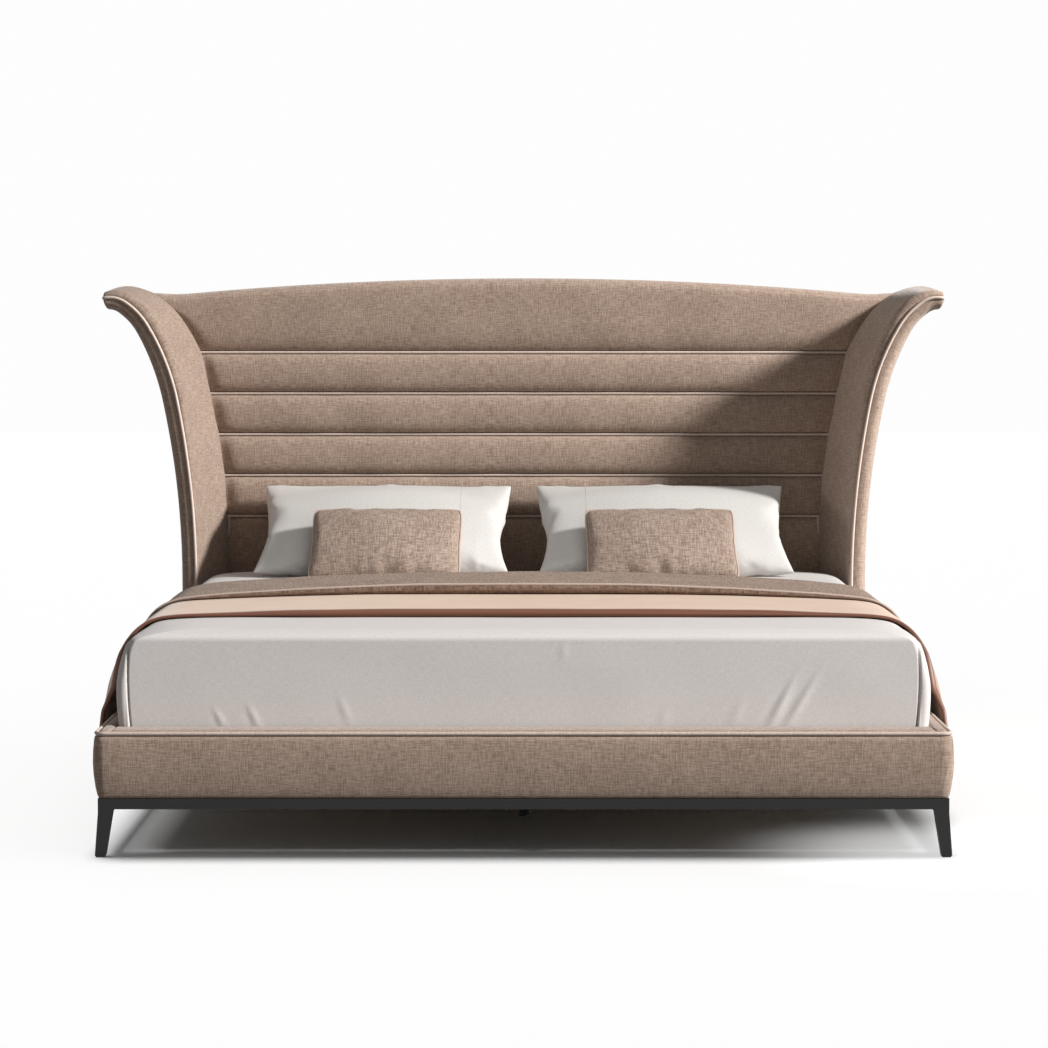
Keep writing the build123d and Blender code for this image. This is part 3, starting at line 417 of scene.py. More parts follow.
# %% Skin over a row of sections
def cloth_steps(points, axis):
    """Average distances between neighbours along one axis of a grid, added up from zero."""
    steps = np.linalg.norm(np.diff(points, axis=axis), axis=2).mean(axis=1 - axis)
    return np.concatenate([[0.0], np.cumsum(steps)])


def add_piece(name, mesh, material):
    """A smooth-shaded object from a mesh."""
    mesh.materials.append(material)
    mesh.polygons.foreach_set("use_smooth", [True] * len(mesh.polygons))
    return new_object(name, mesh)


def face_outwards(mesh, hole_size=0):
    """Turn every face outwards. Where the last points go round a hole, it is closed first."""
    shape = bmesh.new()
    shape.from_mesh(mesh)
    if hole_size:
        shape.verts.ensure_lookup_table()
        shape.faces.new(shape.verts[-hole_size:]).smooth = True
    bmesh.ops.recalc_face_normals(shape, faces=shape.faces)
    shape.to_mesh(mesh)
    shape.free()


def skin(name, sections, material, caps=True, by_x=False):
    """A mesh over a grid of points: sections first, then the points round each closed section.

    The cloth runs from section to section, or straight along X where by_x is true."""
    points = np.asarray(sections, float)
    count, width = points.shape[:2]
    u_steps = cloth_steps(np.concatenate([points, points[:, :1]], axis=1), 1)
    v_steps = cloth_steps(points, 0)
    run = points[:, :, 0] if by_x else np.repeat(v_steps[:, None], width, axis=1)
    faces, corners = [], []
    for row in range(count - 1):
        for this in range(width):
            following = (this + 1) % width
            square = ((row, this), (row, following), (row + 1, following), (row + 1, this))
            faces.append([r * width + c for r, c in square])
            steps = (u_steps[this], u_steps[this + 1], u_steps[this + 1], u_steps[this])
            corners += [(run[at], step) for at, step in zip(square, steps)]
    if caps:
        for row, order in ((0, 1), (count - 1, -1)):
            faces.append(tuple(row * width + c for c in range(width))[::order])
            corners += [(run[row, c], u_steps[c]) for c in range(width)][::order]
    mesh = bpy.data.meshes.new(name)
    mesh.from_pydata([tuple(point) for point in points.reshape(-1, 3)], [], faces)
    mesh.uv_layers.new(name="cloth").data.foreach_set("uv", np.asarray(corners, float).ravel())
    if caps:
        face_outwards(mesh)
    return add_piece(name, mesh, material)


def smooth_line(points, steps, closed=False):
    """A smooth line through points, with a number of steps between each two."""
    points = np.asarray(points, float)
    before = np.roll(points, 1, 0)
    after = np.roll(points, -1, 0)
    if not closed:
        before[0] = 2 * points[0] - points[1]
        after[-1] = 2 * points[-1] - points[-2]
    slope = (after - before) / 2
    result = []
    for i in range(len(points) if closed else len(points) - 1):
        j = (i + 1) % len(points)
        for t in np.arange(steps) / steps:
            result.append((2 * t ** 3 - 3 * t ** 2 + 1) * points[i] + (t ** 3 - 2 * t ** 2 + t) * slope[i]
                          + (3 * t ** 2 - 2 * t ** 3) * points[j] + (t ** 3 - t ** 2) * slope[j])
    if not closed:
        result.append(points[-1])
    return np.array(result)


def run_along(line):
    """How far each point of a line is from the line's start."""
    return np.concatenate([[0.0], np.cumsum(np.linalg.norm(np.diff(line, axis=0), axis=1))])


def ways_along(line):
    """The way in which a line runs at each of its points."""
    ways = np.gradient(line, axis=0)
    return ways / np.linalg.norm(ways, axis=1)[:, None]


def set_points(mesh, points):
    """Move a mesh's points."""
    mesh.vertices.foreach_set("co", np.asarray(points, float).ravel())
    mesh.update()


def get_points(mesh):
    """A mesh's points as rows of X, Y and Z."""
    points = np.zeros(len(mesh.vertices) * 3)
    mesh.vertices.foreach_get("co", points)
    return points.reshape(-1, 3)


def ripple(place_at, size, seed=0.0):
    """A slow unevenness between about -1 and 1 at a place, for bumps of a size in metres."""
    return noise.noise(Vector(place_at) / size + Vector((seed, -seed, seed / 2)))


def bed_piece(piece, slot, *nodes, body="bed_frame", fill=None):
    """Attach a finished piece to the body it rides on, hide the CAD nodes it stands for and print its face
    count.
    The slot argument, a material slot's name, is not used.
    """
    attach(piece, body)
    if nodes:
        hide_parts(*nodes)
    print(piece.name, len(piece.data.polygons), "faces")


# %% [markdown]
# ## The padded rails
#
# The front and side rails read as one low wall with a soft top, a face that swells a little over its foam,
# and a seam where the front rail's top meets each side. One cross-section follows the three sides. Its
# outer half hangs on the outer line and its inner half on the inner line, so the broad front rail and the
# narrow side rails share it.

# %% Rails
half_width = 0.960
head_y = 1.103
rail_inner_x = 0.923
rail_top = 0.283
front_rail_back_y = -1.015
rail_corner_radius = 0.022
rail_outer_line = ((-0.030, 0.1325), (-0.012, 0.1321), (-0.0065, 0.1335), (-0.0035, 0.139), (0.0005, 0.156),
                   (0.0045, 0.185), (0.0062, 0.212), (0.0055, 0.240), (0.0036, 0.262), (0.0020, 0.2705),
                   (-0.0035, 0.2728), (-0.0078, 0.2755), (-0.0085, 0.2795), (-0.0105, 0.2832),
                   (-0.0160, 0.2852), (-0.0250, 0.2858))
rail_inner_line = ((0.0100, 0.2856), (0.0040, 0.2838), (0.0008, 0.2795), (0.0, 0.270), (0.0, 0.1325))
seam_sink = 0.0035


def rail_stations():
    """Outer point, inner point, outward way and seam depth for each place along the three rails."""
    stations = []
    for y in np.linspace(head_y - 0.004, foot_y + 0.09, 70):
        stations.append(((-half_width, y), (-rail_inner_x, y), (-1.0, 0.0), 0.0))
    centre_y = foot_y + rail_corner_radius
    centre_x = half_width - rail_corner_radius
    for y in (foot_y + 0.07, foot_y + 0.045):
        stations.append(((-half_width, y), (-rail_inner_x, front_rail_back_y), (-1.0, 0.0), 0.0))
    for angle in np.linspace(0, math.pi / 2, 9):
        way = (-math.cos(angle), -math.sin(angle))
        outer = (rail_corner_radius * way[0] - centre_x, rail_corner_radius * way[1] + centre_y)
        stations.append((outer, (-rail_inner_x, front_rail_back_y), way, 0.0))
    for x, sink in ((-0.930, 0.0), (-0.9255, 0.5), (-0.923, 1.0), (-0.9205, 0.5), (-0.916, 0.0)):
        stations.append(((x, foot_y), (max(x, -rail_inner_x), front_rail_back_y), (0.0, -1.0), sink))
    for x in np.linspace(-0.90, 0.0, 42):
        stations.append(((x, foot_y), (x, front_rail_back_y), (0.0, -1.0), 0.0))
    other_half = [((-o[0], o[1]), (-i[0], i[1]), (-w[0], w[1]), s) for o, i, w, s in stations[-2::-1]]
    return stations + other_half


def rail_point(corner, way, reach, z, sink):
    """A point of the rails' section. The seam across the top draws it down by a share of seam_sink."""
    dip = seam_sink * sink if z > rail_top else 0.0
    return corner[0] + way[0] * reach, corner[1] + way[1] * reach, z - dip


rail_sections = []
for outer, inner, way, sink in rail_stations():
    section = []
    for out, z in rail_outer_line:
        swell = 0.0012 * ripple((outer[0], outer[1], z), 0.11) if z > 0.15 else 0.0
        section.append(rail_point(outer, way, out + swell, z, sink))
    section += [rail_point(inner, way, back, z, sink) for back, z in rail_inner_line]
    rail_sections.append(section)
rails = skin("rails", rail_sections, frame_weave)
bed_piece(rails, "frame_fabric", "front_rail_cover", "side_rail_cover_left", "side_rail_cover_right",
          fill=0.9)

# %% [markdown]
# ## Piping
#
# Piping is a cord inside a strip of cloth, sewn into a seam. It always follows a line, which is the work
# that Geometry Nodes do well: a small tree sweeps a ring of a chosen radius along any curve, and the
# result is baked to a plain mesh. A second tree sets short threads along a line, for stitches and staples.


# %% Piping tree
def finish_tree(tree, shape, material, result):
    """Turn copies into real geometry, give it its material and hand it out."""
    realize = place(tree, "GeometryNodeRealizeInstances", geometry=shape)
    paint = place(tree, "GeometryNodeSetMaterial", geometry=realize.outputs["Geometry"], material=material)
    tree.links.new(paint.outputs["Geometry"], result)
    return tree


def build_piping_tree():
    """A round cord swept along a line."""
    tree, given, result = start_group("GeometryNodeTree", "piping along a line",
                                      {"Line": "Geometry", "Radius": "Float", "Material": "Material"},
                                      {"Piping": "Geometry"})
    ring = place(tree, "GeometryNodeCurvePrimitiveCircle", resolution=12, radius=given["Radius"])
    sweep = place(tree, "GeometryNodeCurveToMesh", curve=given["Line"], profile_curve=ring.outputs["Curve"],
                  fill_caps=True)
    smooth = place(tree, "GeometryNodeSetShadeSmooth", geometry=sweep.outputs["Mesh"])
    return finish_tree(tree, smooth.outputs["Geometry"], given["Material"], result["Piping"])


piping_tree = build_piping_tree()


def run_tree(name, holder, tree, material, values):
    """Run a Geometry Nodes tree on an object and keep the result as a plain mesh."""
    values["Material"] = material
    modifier = holder.modifiers.new("tree", "NODES")
    modifier.node_group = tree
    for item in tree.interface.items_tree:
        if item.in_out == "INPUT" and item.name in values:
            modifier[item.identifier] = values[item.name]
    bpy.context.view_layer.update()
    depsgraph = bpy.context.evaluated_depsgraph_get()
    mesh = bpy.data.meshes.new_from_object(holder.evaluated_get(depsgraph))
    bpy.data.objects.remove(holder)
    mesh.name = name
    if not mesh.materials:
        mesh.materials.append(material)
    return new_object(name, mesh)


def line_holder(name, lines, closed=False):
    """A curve object through one or more lines of points."""
    curve = bpy.data.curves.new(name, "CURVE")
    curve.dimensions = "3D"
    for line in lines:
        spline = curve.splines.new("POLY")
        spline.points.add(len(line) - 1)
        spline.points.foreach_set("co", [value for point in line for value in (*point, 1.0)])
        spline.use_cyclic_u = closed
    return new_object(name + " line", curve)


def piping(name, lines, radius, material, closed=False):
    """One piece of piping along one or more lines of points."""
    return run_tree(name, line_holder(name, lines, closed), piping_tree, material, {"Radius": radius})


# %% [markdown]
# The second tree sets short round threads along a line, at a chosen spacing, each turned the way the line
# runs. It sews the coverlet's hem and the pillows' flaps, and its thicker threads are the back's staples.


# %% Stitch tree
def build_stitch_tree():
    """Short round threads set along a line."""
    tree, given, result = start_group("GeometryNodeTree", "stitches along a line",
                                      {"Line": "Geometry", "Spacing": "Float", "Length": "Float",
                                       "Radius": "Float", "Material": "Material"},
                                      {"Stitches": "Geometry"})
    points = place(tree, "GeometryNodeCurveToPoints", mode="LENGTH", curve=given["Line"],
                   length=given["Spacing"])
    thread = place(tree, "GeometryNodeMeshCylinder", vertices=6, radius=given["Radius"],
                   depth=given["Length"])
    turn = place(tree, "FunctionNodeAlignRotationToVector", axis="Z", vector=points.outputs["Tangent"])
    place_on = place(tree, "GeometryNodeInstanceOnPoints", points=points.outputs["Points"],
                     instance=thread.outputs["Mesh"], rotation=turn.outputs["Rotation"])
    return finish_tree(tree, place_on.outputs["Instances"], given["Material"], result["Stitches"])


stitch_tree = build_stitch_tree()


def stitches(name, lines, spacing, length, radius, material):
    """Stitches along lines, with their spacing, length and radius in metres."""
    values = {"Spacing": spacing, "Length": length, "Radius": radius}
    return run_tree(name, line_holder(name, lines), stitch_tree, material, values)


# %% [markdown]
# The rails' piping lies in the seam between their face and their top. It stops just before the wings,
# whose own piping starts there.

# %% Piping round the rails
piping_radius = 0.0044
piping_out = 0.0022 - piping_radius
rail_piping_z = 0.2788
wing_front_y = 0.797
piping_line = [(outer[0] + way[0] * piping_out, outer[1] + way[1] * piping_out, rail_piping_z)
               for outer, inner, way, sink in rail_stations() if outer[1] < wing_front_y - 0.002]
rail_piping = piping("rail_piping_cord", [piping_line], piping_radius, piping_weave)
bed_piece(rail_piping, "piping_cord", "rail_piping")

# %% [markdown]
# ## The wings
#
# Each wing is a padded board whose front edge rises straight, then flares out to a rolled tip. The line of
# that edge is a straight run and four arcs that meet smoothly. Cross-sections stand square to the line:
# a rounded band outside the piping, a padded roll inside it that grows towards the headboard. A table
# says how broad the band and the roll are at each height, and the sections between are eased.

# %% The wing's edge line
wing_edge_x = 0.918
edge_points = ((wing_edge_x, rail_top), (wing_edge_x, 0.475), (0.9688, 0.9857), (1.0501, 1.1940),
               (1.1125, 1.2586), (1.1655, 1.2695))


def rotated(vector, angle):
    """A flat vector turned by an angle."""
    cos, sin = math.cos(angle), math.sin(angle)
    return np.array([vector[0] * cos - vector[1] * sin, vector[0] * sin + vector[1] * cos])


def tangent_arc(start, way, end, steps):
    """Points of the arc that leaves start along way and reaches end, and its way at the end."""
    chord = end - start
    side = np.array([way[1], -way[0]])
    radius = (chord @ chord) / (2 * (chord @ side))
    centre = start + side * radius
    turn = 2 * math.asin(np.clip(np.linalg.norm(chord) / (2 * abs(radius)), -1, 1)) * (-np.sign(radius))
    points = [centre + rotated(start - centre, turn * part) for part in np.arange(1, steps + 1) / steps]
    return points, rotated(way, turn)


def trace_wing_edge():
    """The edge as X and Z points, evenly spaced, with the way it runs at each."""
    line = [np.array(edge_points[0]), np.array(edge_points[1])]
    way = np.array([0.0, 1.0])
    for end in edge_points[2:]:
        arc, way = tangent_arc(line[-1], way, np.array(end), 40)
        line += arc
    line = np.array(line)
    run = run_along(line)
    shares = np.linspace(0, 1, 121)
    even = np.stack([np.interp(shares * run[-1], run, line[:, axis]) for axis in (0, 1)], axis=1)
    return shares, even, ways_along(even), run[-1]


edge_shares, wing_edge, wing_ways, wing_edge_length = trace_wing_edge()
print("wing edge length, m:", round(wing_edge_length, 3))

# %% [markdown]
# A section is a closed ring: how far each point lies outwards from the edge and back from the wing's front.
# At the tip the last ring shrinks in four steps, which rounds the end.

# %% The wing's sections
wing_band = 0.038
wing_roll = 0.070
half_wing_depth = 0.306 / 2
tip_round = 0.008
# share of the edge's length, band and roll as shares of their full widths, nose of the roll in metres
wing_stations = np.array([(0.0, 1.13, 1.0, 0.006), (0.177, 1.13, 1.0, 0.008), (0.45, 1.12, 1.14, 0.014),
                          (0.65, 1.16, 1.09, 0.021), (0.76, 1.14, 1.17, 0.026), (0.855, 1.06, 1.07, 0.030),
                          (0.905, 1.02, 0.87, 0.031), (0.945, 0.99, 0.65, 0.028), (0.98, 0.92, 0.49, 0.023),
                          (1.0, 0.84, 0.41, 0.018)])
station_line = smooth_line(wing_stations, 12)


def wing_sizes(share):
    """Band width, roll and the front nose of the roll at a share of the edge's length."""
    return [np.interp(share, station_line[:, 0], station_line[:, column]) for column in (1, 2, 3)]


def wing_ring(share):
    """One closed cross-section as distances outwards from the edge and back from the wing's front."""
    band_share, roll_share, nose = wing_sizes(share)
    band, roll = wing_band * band_share, wing_roll * roll_share
    nose = min(nose, 0.85 * roll)
    rest = roll - nose
    step = np.interp(share, (0.88, 0.95), (0.004, 0.0004)) * band_share
    inner = [(-0.0008, 0.0006), (-0.32 * nose, -0.0024), (-0.66 * nose, 0.0014), (-0.90 * nose, 0.0095),
             (-nose - 0.02 * rest, 0.025), (-nose - 0.16 * rest, 0.062), (-nose - 0.42 * rest, 0.110),
             (-nose - 0.78 * rest, 0.170), (-nose - 0.95 * rest, 0.208), (-roll, 0.228),
             (-0.98 * roll, 0.242), (-0.4 * roll, 0.246), (step, 0.250), (step, 0.297),
             (step + 0.003 * band_share, 0.3045)]
    outer = [(0.30 * band, 0.3062), (0.75 * band, 0.3062), (0.93 * band, 0.3048), (0.99 * band, 0.299),
             (band, 0.260), (1.01 * band, 0.180), (1.01 * band, 0.100), (0.995 * band, 0.050),
             (0.93 * band, 0.022), (0.78 * band, 0.006), (0.55 * band, -0.0015), (0.32 * band, -0.0030),
             (0.12 * band, -0.0018), (0.0022, 0.0012)]
    return np.array(inner + outer)


def wing_place(share, out, back, side):
    """A point of the wing in the room, on the left (-1) or right (1)."""
    x = np.interp(share, edge_shares, wing_edge[:, 0])
    z = np.interp(share, edge_shares, wing_edge[:, 1])
    way = np.array([np.interp(share, edge_shares, wing_ways[:, axis]) for axis in (0, 1)])
    return side * (x + out * way[1]), wing_front_y + back, z - out * way[0]


def wing_sections(side):
    """All rings of one wing, from the rail to the rounded tip."""
    rows = []
    for share in np.concatenate([np.linspace(0, 0.6, 36), np.linspace(0.61, 1.0, 52)]):
        ring = smooth_line(wing_ring(share), 3, closed=True)
        row = []
        for out, back in ring:
            x, y, z = wing_place(share, out, back, side)
            swell = 0.0014 * ripple((x, y, z), 0.13, 2.0 + side)
            row.append((x - side * swell * (1 if out < -0.004 else 0), y, z))
        rows.append(row)
    end = smooth_line(wing_ring(1.0), 3, closed=True)
    middle = (end[:, 0].max() + end[:, 0].min()) / 2
    tip_x, tip_z = wing_ways[-1] * tip_round
    for part in (0.35, 0.65, 0.87, 1.0):
        shrink = math.sqrt(max(0.0, 1 - part ** 2)) * 0.97 + 0.03
        flatten = 0.97 + 0.03 * shrink
        row = []
        for out, back in end:
            tip_out = middle + (out - middle) * shrink
            tip_back = half_wing_depth + (back - half_wing_depth) * flatten
            x, y, z = wing_place(1.0, tip_out, tip_back, side)
            row.append((x + side * tip_x * part, y, z + tip_z * part))
        rows.append(row)
    return rows


for side_name, side in (("left", -1), ("right", 1)):
    wing = skin(f"wing_{side_name}", wing_sections(side), frame_weave)
    bed_piece(wing, "frame_fabric", f"wing_pad_{side_name}", f"wing_outer_panel_{side_name}", fill=0.8)

# %% [markdown]
# The cord runs up the edge, turns back round the tip and ends behind it, out of sight.

# %% Piping along the wings
cord_turn = 0.006
edge_cords = []
for side in (-1, 1):
    line = [wing_place(share, 0.0, -0.0036, side) for share in np.linspace(0.0, 1.0, 110)]
    tip = np.array(line[-1])
    way = np.array([side * wing_ways[-1][0], 0.0, wing_ways[-1][1]])
    for turn in (30, 60, 90):
        angle = math.radians(turn)
        behind = np.array([0, cord_turn * (1 - math.cos(angle)), 0])
        line.append(tuple(tip + way * cord_turn * math.sin(angle) + behind))
    line.append((line[-1][0], line[-1][1] + 0.020, line[-1][2]))
    edge_cords.append(line)
wing_cords = piping("wing_piping_cord", edge_cords, piping_radius, piping_weave)
bed_piece(wing_cords, "piping_cord", "wing_piping")

# %% [markdown]
# ## The channelled headboard
#
# Between the wings the headboard is upholstered in level channels, each a roll of foam under cloth that
# is pulled in at the seams, with piping in every seam. A channel's profile is drawn once and carried from
# wing to wing. Its ends run a little way into the wings' padding, as the real cloth is tucked in there.

# %% Where the headboard meets the wings
seam_y = 1.023
pad_back_y = 1.043
tuck_depth = 0.014
tuck_back = 0.226
junction = np.array([wing_place(share, -wing_roll * wing_sizes(share)[1] + tuck_depth, tuck_back, 1)
                     for share in np.linspace(0.0, 0.93, 120)])
rising = np.maximum.accumulate(junction[:, 2])
arch_half_span = 1.025
arch_rise = 0.05
arch_top = 1.328
arch_radius = (arch_half_span ** 2 + arch_rise ** 2) / (2 * arch_rise)


def tuck_x(z):
    """How far out the headboard's padding runs at a height, a little way into the wing."""
    return np.interp(z, rising, junction[:, 0])


def arch_z(x):
    """Height of the headboard's arched top edge."""
    return arch_top - arch_radius + math.sqrt(arch_radius ** 2 - x ** 2)


def shares_across(count):
    """Places from -1 at the left wing to 1 at the right one, closest together at both ends."""
    return np.sin(np.linspace(-math.pi / 2, math.pi / 2, count))


def end_dip(x, y, reach):
    """How far a pad's front lies back beside its end, where it is tucked in."""
    return max(0.0, seam_y - y) * 0.45 * math.exp(-((reach - abs(x) - 0.012) / 0.022) ** 2)


def padded_strip(name, profile, seed):
    """A pad from wing to wing: profile is a closed loop of Y and Z points, the first ones behind."""
    rows = []
    for share in shares_across(90):
        row = []
        for y, z in profile:
            reach = tuck_x(z)
            x = share * reach
            swell = 0.0016 * ripple((x, 0.0, z), 0.12, seed) if seam_y - y > 0.002 else 0.0
            row.append((x, y + end_dip(x, y, reach) - swell, z))
        rows.append(row)
    return skin(name, rows, frame_weave, by_x=True)


# %% [markdown]
# Four equal channels fill the wall between five seams, and a flatter pad goes on down behind the mattress.

# %% Channels
seam_heights = [1.116 - 0.117 * row for row in range(5)]
channel_crown = 0.022
lower_pad_crown = 0.014
lower_pad_foot = 0.2865
seam_gap = 0.0042


def channel_profile(low, high, crown):
    """Flat behind, full in front, drawn in to the seam above and below."""
    shape = ((0.0, 0.0), (0.025, 0.36), (0.09, 0.66), (0.22, 0.90), (0.42, 1.0), (0.60, 0.99), (0.78, 0.88),
             (0.91, 0.64), (0.975, 0.36), (1.0, 0.0))
    front = smooth_line([(seam_y + 0.002 - crown * out, low + (high - low) * up) for up, out in shape], 4)
    return [(pad_back_y, high), (pad_back_y, low)] + [tuple(point) for point in front]


for number, (high, low) in enumerate(zip(seam_heights, seam_heights[1:]), 1):
    profile = channel_profile(low + seam_gap, high - seam_gap, channel_crown)
    channel = padded_strip(f"channel_{number}", profile, float(number))
    stands_for = ("channel_pads",) if number == 1 else ()
    bed_piece(channel, "frame_fabric", *stands_for, fill=0.75)

lower_profile = channel_profile(lower_pad_foot, seam_heights[-1] - seam_gap, lower_pad_crown)
lower_pad = padded_strip("lower_pad", lower_profile, 9.0)
bed_piece(lower_pad, "frame_fabric", "headboard_lower_pad", fill=0.6)

# %% [markdown]
# The tall pad over the channels turns back over the top rail. Its profile is drawn once, and each of its
# points moves up to the arch by its own share of the pad's height.


# %% Top pad
top_pad_reach = 1.118
top_pad_shoulder = 1.318


def top_pad_rows():
    """The pad's sections. A profile point is its Y, its share of the height and how far it lies below."""
    low = seam_heights[0] + seam_gap
    front = [(seam_y + 0.002, 0.0, 0.0), (1.0175, 0.02, 0.0), (1.0114, 0.07, 0.0), (1.0059, 0.17, 0.0),
             (1.0030, 0.33, 0.0), (1.0034, 0.55, 0.0), (1.0052, 0.74, 0.0), (1.0080, 0.87, 0.0),
             (1.0120, 1.0, 0.0150), (1.0185, 1.0, 0.0068), (1.0280, 1.0, 0.0022), (1.0400, 1.0, 0.0004),
             (1.0620, 1.0, 0.0004), (1.0850, 1.0, 0.0022), (1.0965, 1.0, 0.0065), (1.1020, 1.0, 0.0135),
             (1.1030, 1.0, 0.0220)]
    profile = smooth_line(front, 3)
    rows = []
    for share in shares_across(130):
        row = []
        for y, up, drop in profile:
            height = low + up * (top_pad_shoulder - low)
            reach = min(tuck_x(height), top_pad_reach)
            x = share * reach
            swell = 0.0016 * ripple((x, 0.0, height), 0.16, 11.0)
            rise = 0.0112 * math.exp(-((reach - abs(x) - 0.006) / 0.056) ** 2)
            row.append((x, y + end_dip(x, y, reach) - swell, low + up * (arch_z(x) + rise - drop - low)))
        top_x = share * min(tuck_x(1.30), top_pad_reach)
        row += [(top_x, pad_back_y, arch_z(top_x) - 0.0216), (share * tuck_x(low), pad_back_y, low)]
        rows.append(row)
    return rows


top_pad = skin("top_pad", top_pad_rows(), frame_weave, by_x=True)
bed_piece(top_pad, "frame_fabric", "headboard_top_pad", fill=0.8)

# %% [markdown]
# Every seam between two pads holds a cord. Two more run down beside the lower pad, where it meets the wings.

# %% Piping in the channels' seams
seam_cord_y = seam_y - 0.0026
seam_cords = [[(x, seam_cord_y, z) for x in np.linspace(-tuck_x(z), tuck_x(z), 60)] for z in seam_heights]
corner_x = tuck_x(0.6) - 0.0165
for side in (-1, 1):
    seam_cords.append([(side * corner_x, seam_cord_y + 0.004 * part, seam_heights[-1] - 0.20 * part)
                       for part in np.linspace(0, 1, 14)])
channel_cords = piping("channel_piping_cord", seam_cords, 0.0038, piping_weave)
bed_piece(channel_cords, "piping_cord", "channel_piping")

# %% [markdown]
# ## The back of the headboard
#
# Nobody sees the back of this bed against a wall, yet it is finished: a plain panel of backing cloth, a
# little inside the edges, drawn tight over its frame and held by staples along its edge. Its outline
# follows the arch and the two wings.


# %% Back panel
def back_outline():
    """Half of the panel's outline, from the floor end of the right side up to the middle of the arch."""
    side_line = [(0.9215, 0.1335), (0.9215, 0.282)]
    edge = [(x - 0.002, z) for x, z in wing_edge[4:112:4]]
    edge = [(x, z) for x, z in edge if z < arch_z(x) - 0.03]
    top = [(x, arch_z(x) - 0.0225) for x in np.linspace(1.06, 0.0, 24)]
    return side_line + edge + top


def drawn_in(x, z, inset, middle):
    """A point of the outline moved in from the sides, the top and the foot. Near the middle X stays."""
    aside = math.copysign(inset, x) * (abs(x) > middle)
    return x - aside, z - inset * (z > 1.0) + inset * (z < 0.14)


half_outline = back_outline()
outline = half_outline + [(-x, z) for x, z in reversed(half_outline[:-1])]
back_rows = []
for y, inset in ((1.0975, 0.0), (1.1015, 0.0), (1.1030, 0.0015), (1.1034, 0.004)):
    points = [drawn_in(x, z, inset, 0.01) for x, z in outline]
    back_rows.append([(x, y, z) for x, z in points])
back_panel = skin("back_panel", back_rows, backing_weave)
bed_piece(back_panel, "back_cloth", "headboard_back_cover", fill=0.3)

# %% Staples round the back panel
staple_y = 1.1036
staple_inset = 0.014
stapled = outline[:1] + outline[2:-2] + outline[-1:]
points = [drawn_in(x, z, staple_inset, 0.05) for x, z in stapled]
staple_line = [(x, staple_y, z) for x, z in points]
staples = stitches("back_staples", [staple_line], 0.030, 0.011, 0.0007, zinc_steel)
bed_piece(staples, "zinc_steel")

# %% [markdown]
# ## The mattress and its fitted sheet
#
# The sheet is pulled tight over the mattress, so its form is the mattress's: a crowned top, a soft roll at
# the edges, and upright sides. What makes it read as cloth is small: a pleat folded at each front corner
# and faint pulls that rise from the tucked hem. Level rings round the mattress carry both.

# %% Rings round the mattress
mattress_half_width = 0.908
mattress_front_y = -1.006
mattress_back_y = 0.994
mattress_bottom = 0.2163
mattress_height = 0.282
mattress_shoulder = 0.206
back_round = 0.12
# share of the height, and how far in the mattress lies there as a share of its shoulder
mattress_shares = ((0.0, 0.068), (0.06, 0.03), (0.25, 0.012), (0.5, 0.0), (0.65, 0.002), (0.80, 0.020),
                   (0.88, 0.060), (0.93, 0.125), (0.965, 0.23), (0.985, 0.40), (0.996, 0.68), (1.0, 1.0))


def rounded_ring(inset, near_round, far_round):
    """A level rounded rectangle from the middle of the front, as X and Y points and outward ways.

    Its points lie closest together beside the front corners, where the sheet is folded."""
    x, front, back = mattress_half_width - inset, mattress_front_y + inset, mattress_back_y - inset
    half = []
    for share in np.concatenate([np.linspace(0, 0.93, 150), np.linspace(0.932, 1, 54)]):
        half.append((share * (x - near_round), front, 0.0, -1.0))
    for angle in np.linspace(0, math.pi / 2, 18)[1:-1]:
        sin, cos = math.sin(angle), math.cos(angle)
        half.append((x - near_round + near_round * sin, front + near_round - near_round * cos, sin, -cos))
    for share in np.linspace(0, 1, 90) ** 1.4:
        half.append((x, front + near_round + share * (back - far_round - front - near_round), 1.0, 0.0))
    for angle in np.linspace(0, math.pi / 2, 12)[1:-1]:
        sin, cos = math.sin(angle), math.cos(angle)
        half.append((x - far_round + far_round * cos, back - far_round + far_round * sin, cos, sin))
    for share in np.linspace(0, 1, 30):
        half.append(((1 - share) * (x - far_round), back, 0.0, 1.0))
    mirrored = [(-px, py, -wx, wy) for px, py, wx, wy in half[-2:0:-1]]
    return np.array(half + mirrored)


# %% Mattress under the sheet
mattress_rows = []
for up, inset_share in mattress_shares:
    ring = rounded_ring(inset_share * mattress_shoulder + 0.002, 0.05, back_round)
    z = mattress_bottom + up * (mattress_height - 0.002)
    mattress_rows.append([(x, y, z) for x, y, wx, wy in ring])
mattress = skin("mattress_body", mattress_rows, ticking_weave)
bed_piece(mattress, "mattress_ticking", "mattress", body="mattress", fill=0.9)

# %% [markdown]
# A pull is a faint ridge with a shallow furrow beside it, and it fades towards its upper end. The table
# has one row for each pull that the photograph shows.

# %% Pulls and pleats of the sheet
# X and Z of a pull's upper end, X and Z of its foot, how far it stands out, its half width
pull_lines = ((0.6256, 0.417, 0.558, 0.286, 0.0026, 0.0085), (0.680, 0.426, 0.596, 0.286, 0.0024, 0.0085),
              (-0.705, 0.333, -0.680, 0.287, 0.0017, 0.0060), (-0.630, 0.346, -0.601, 0.286, 0.0017, 0.0065),
              (-0.424, 0.367, -0.395, 0.297, 0.0010, 0.0080), (0.094, 0.482, 0.088, 0.440, 0.0008, 0.0080),
              (0.33, 0.33, 0.31, 0.286, 0.0008, 0.0090), (0.505, 0.36, 0.470, 0.286, 0.0008, 0.0100))


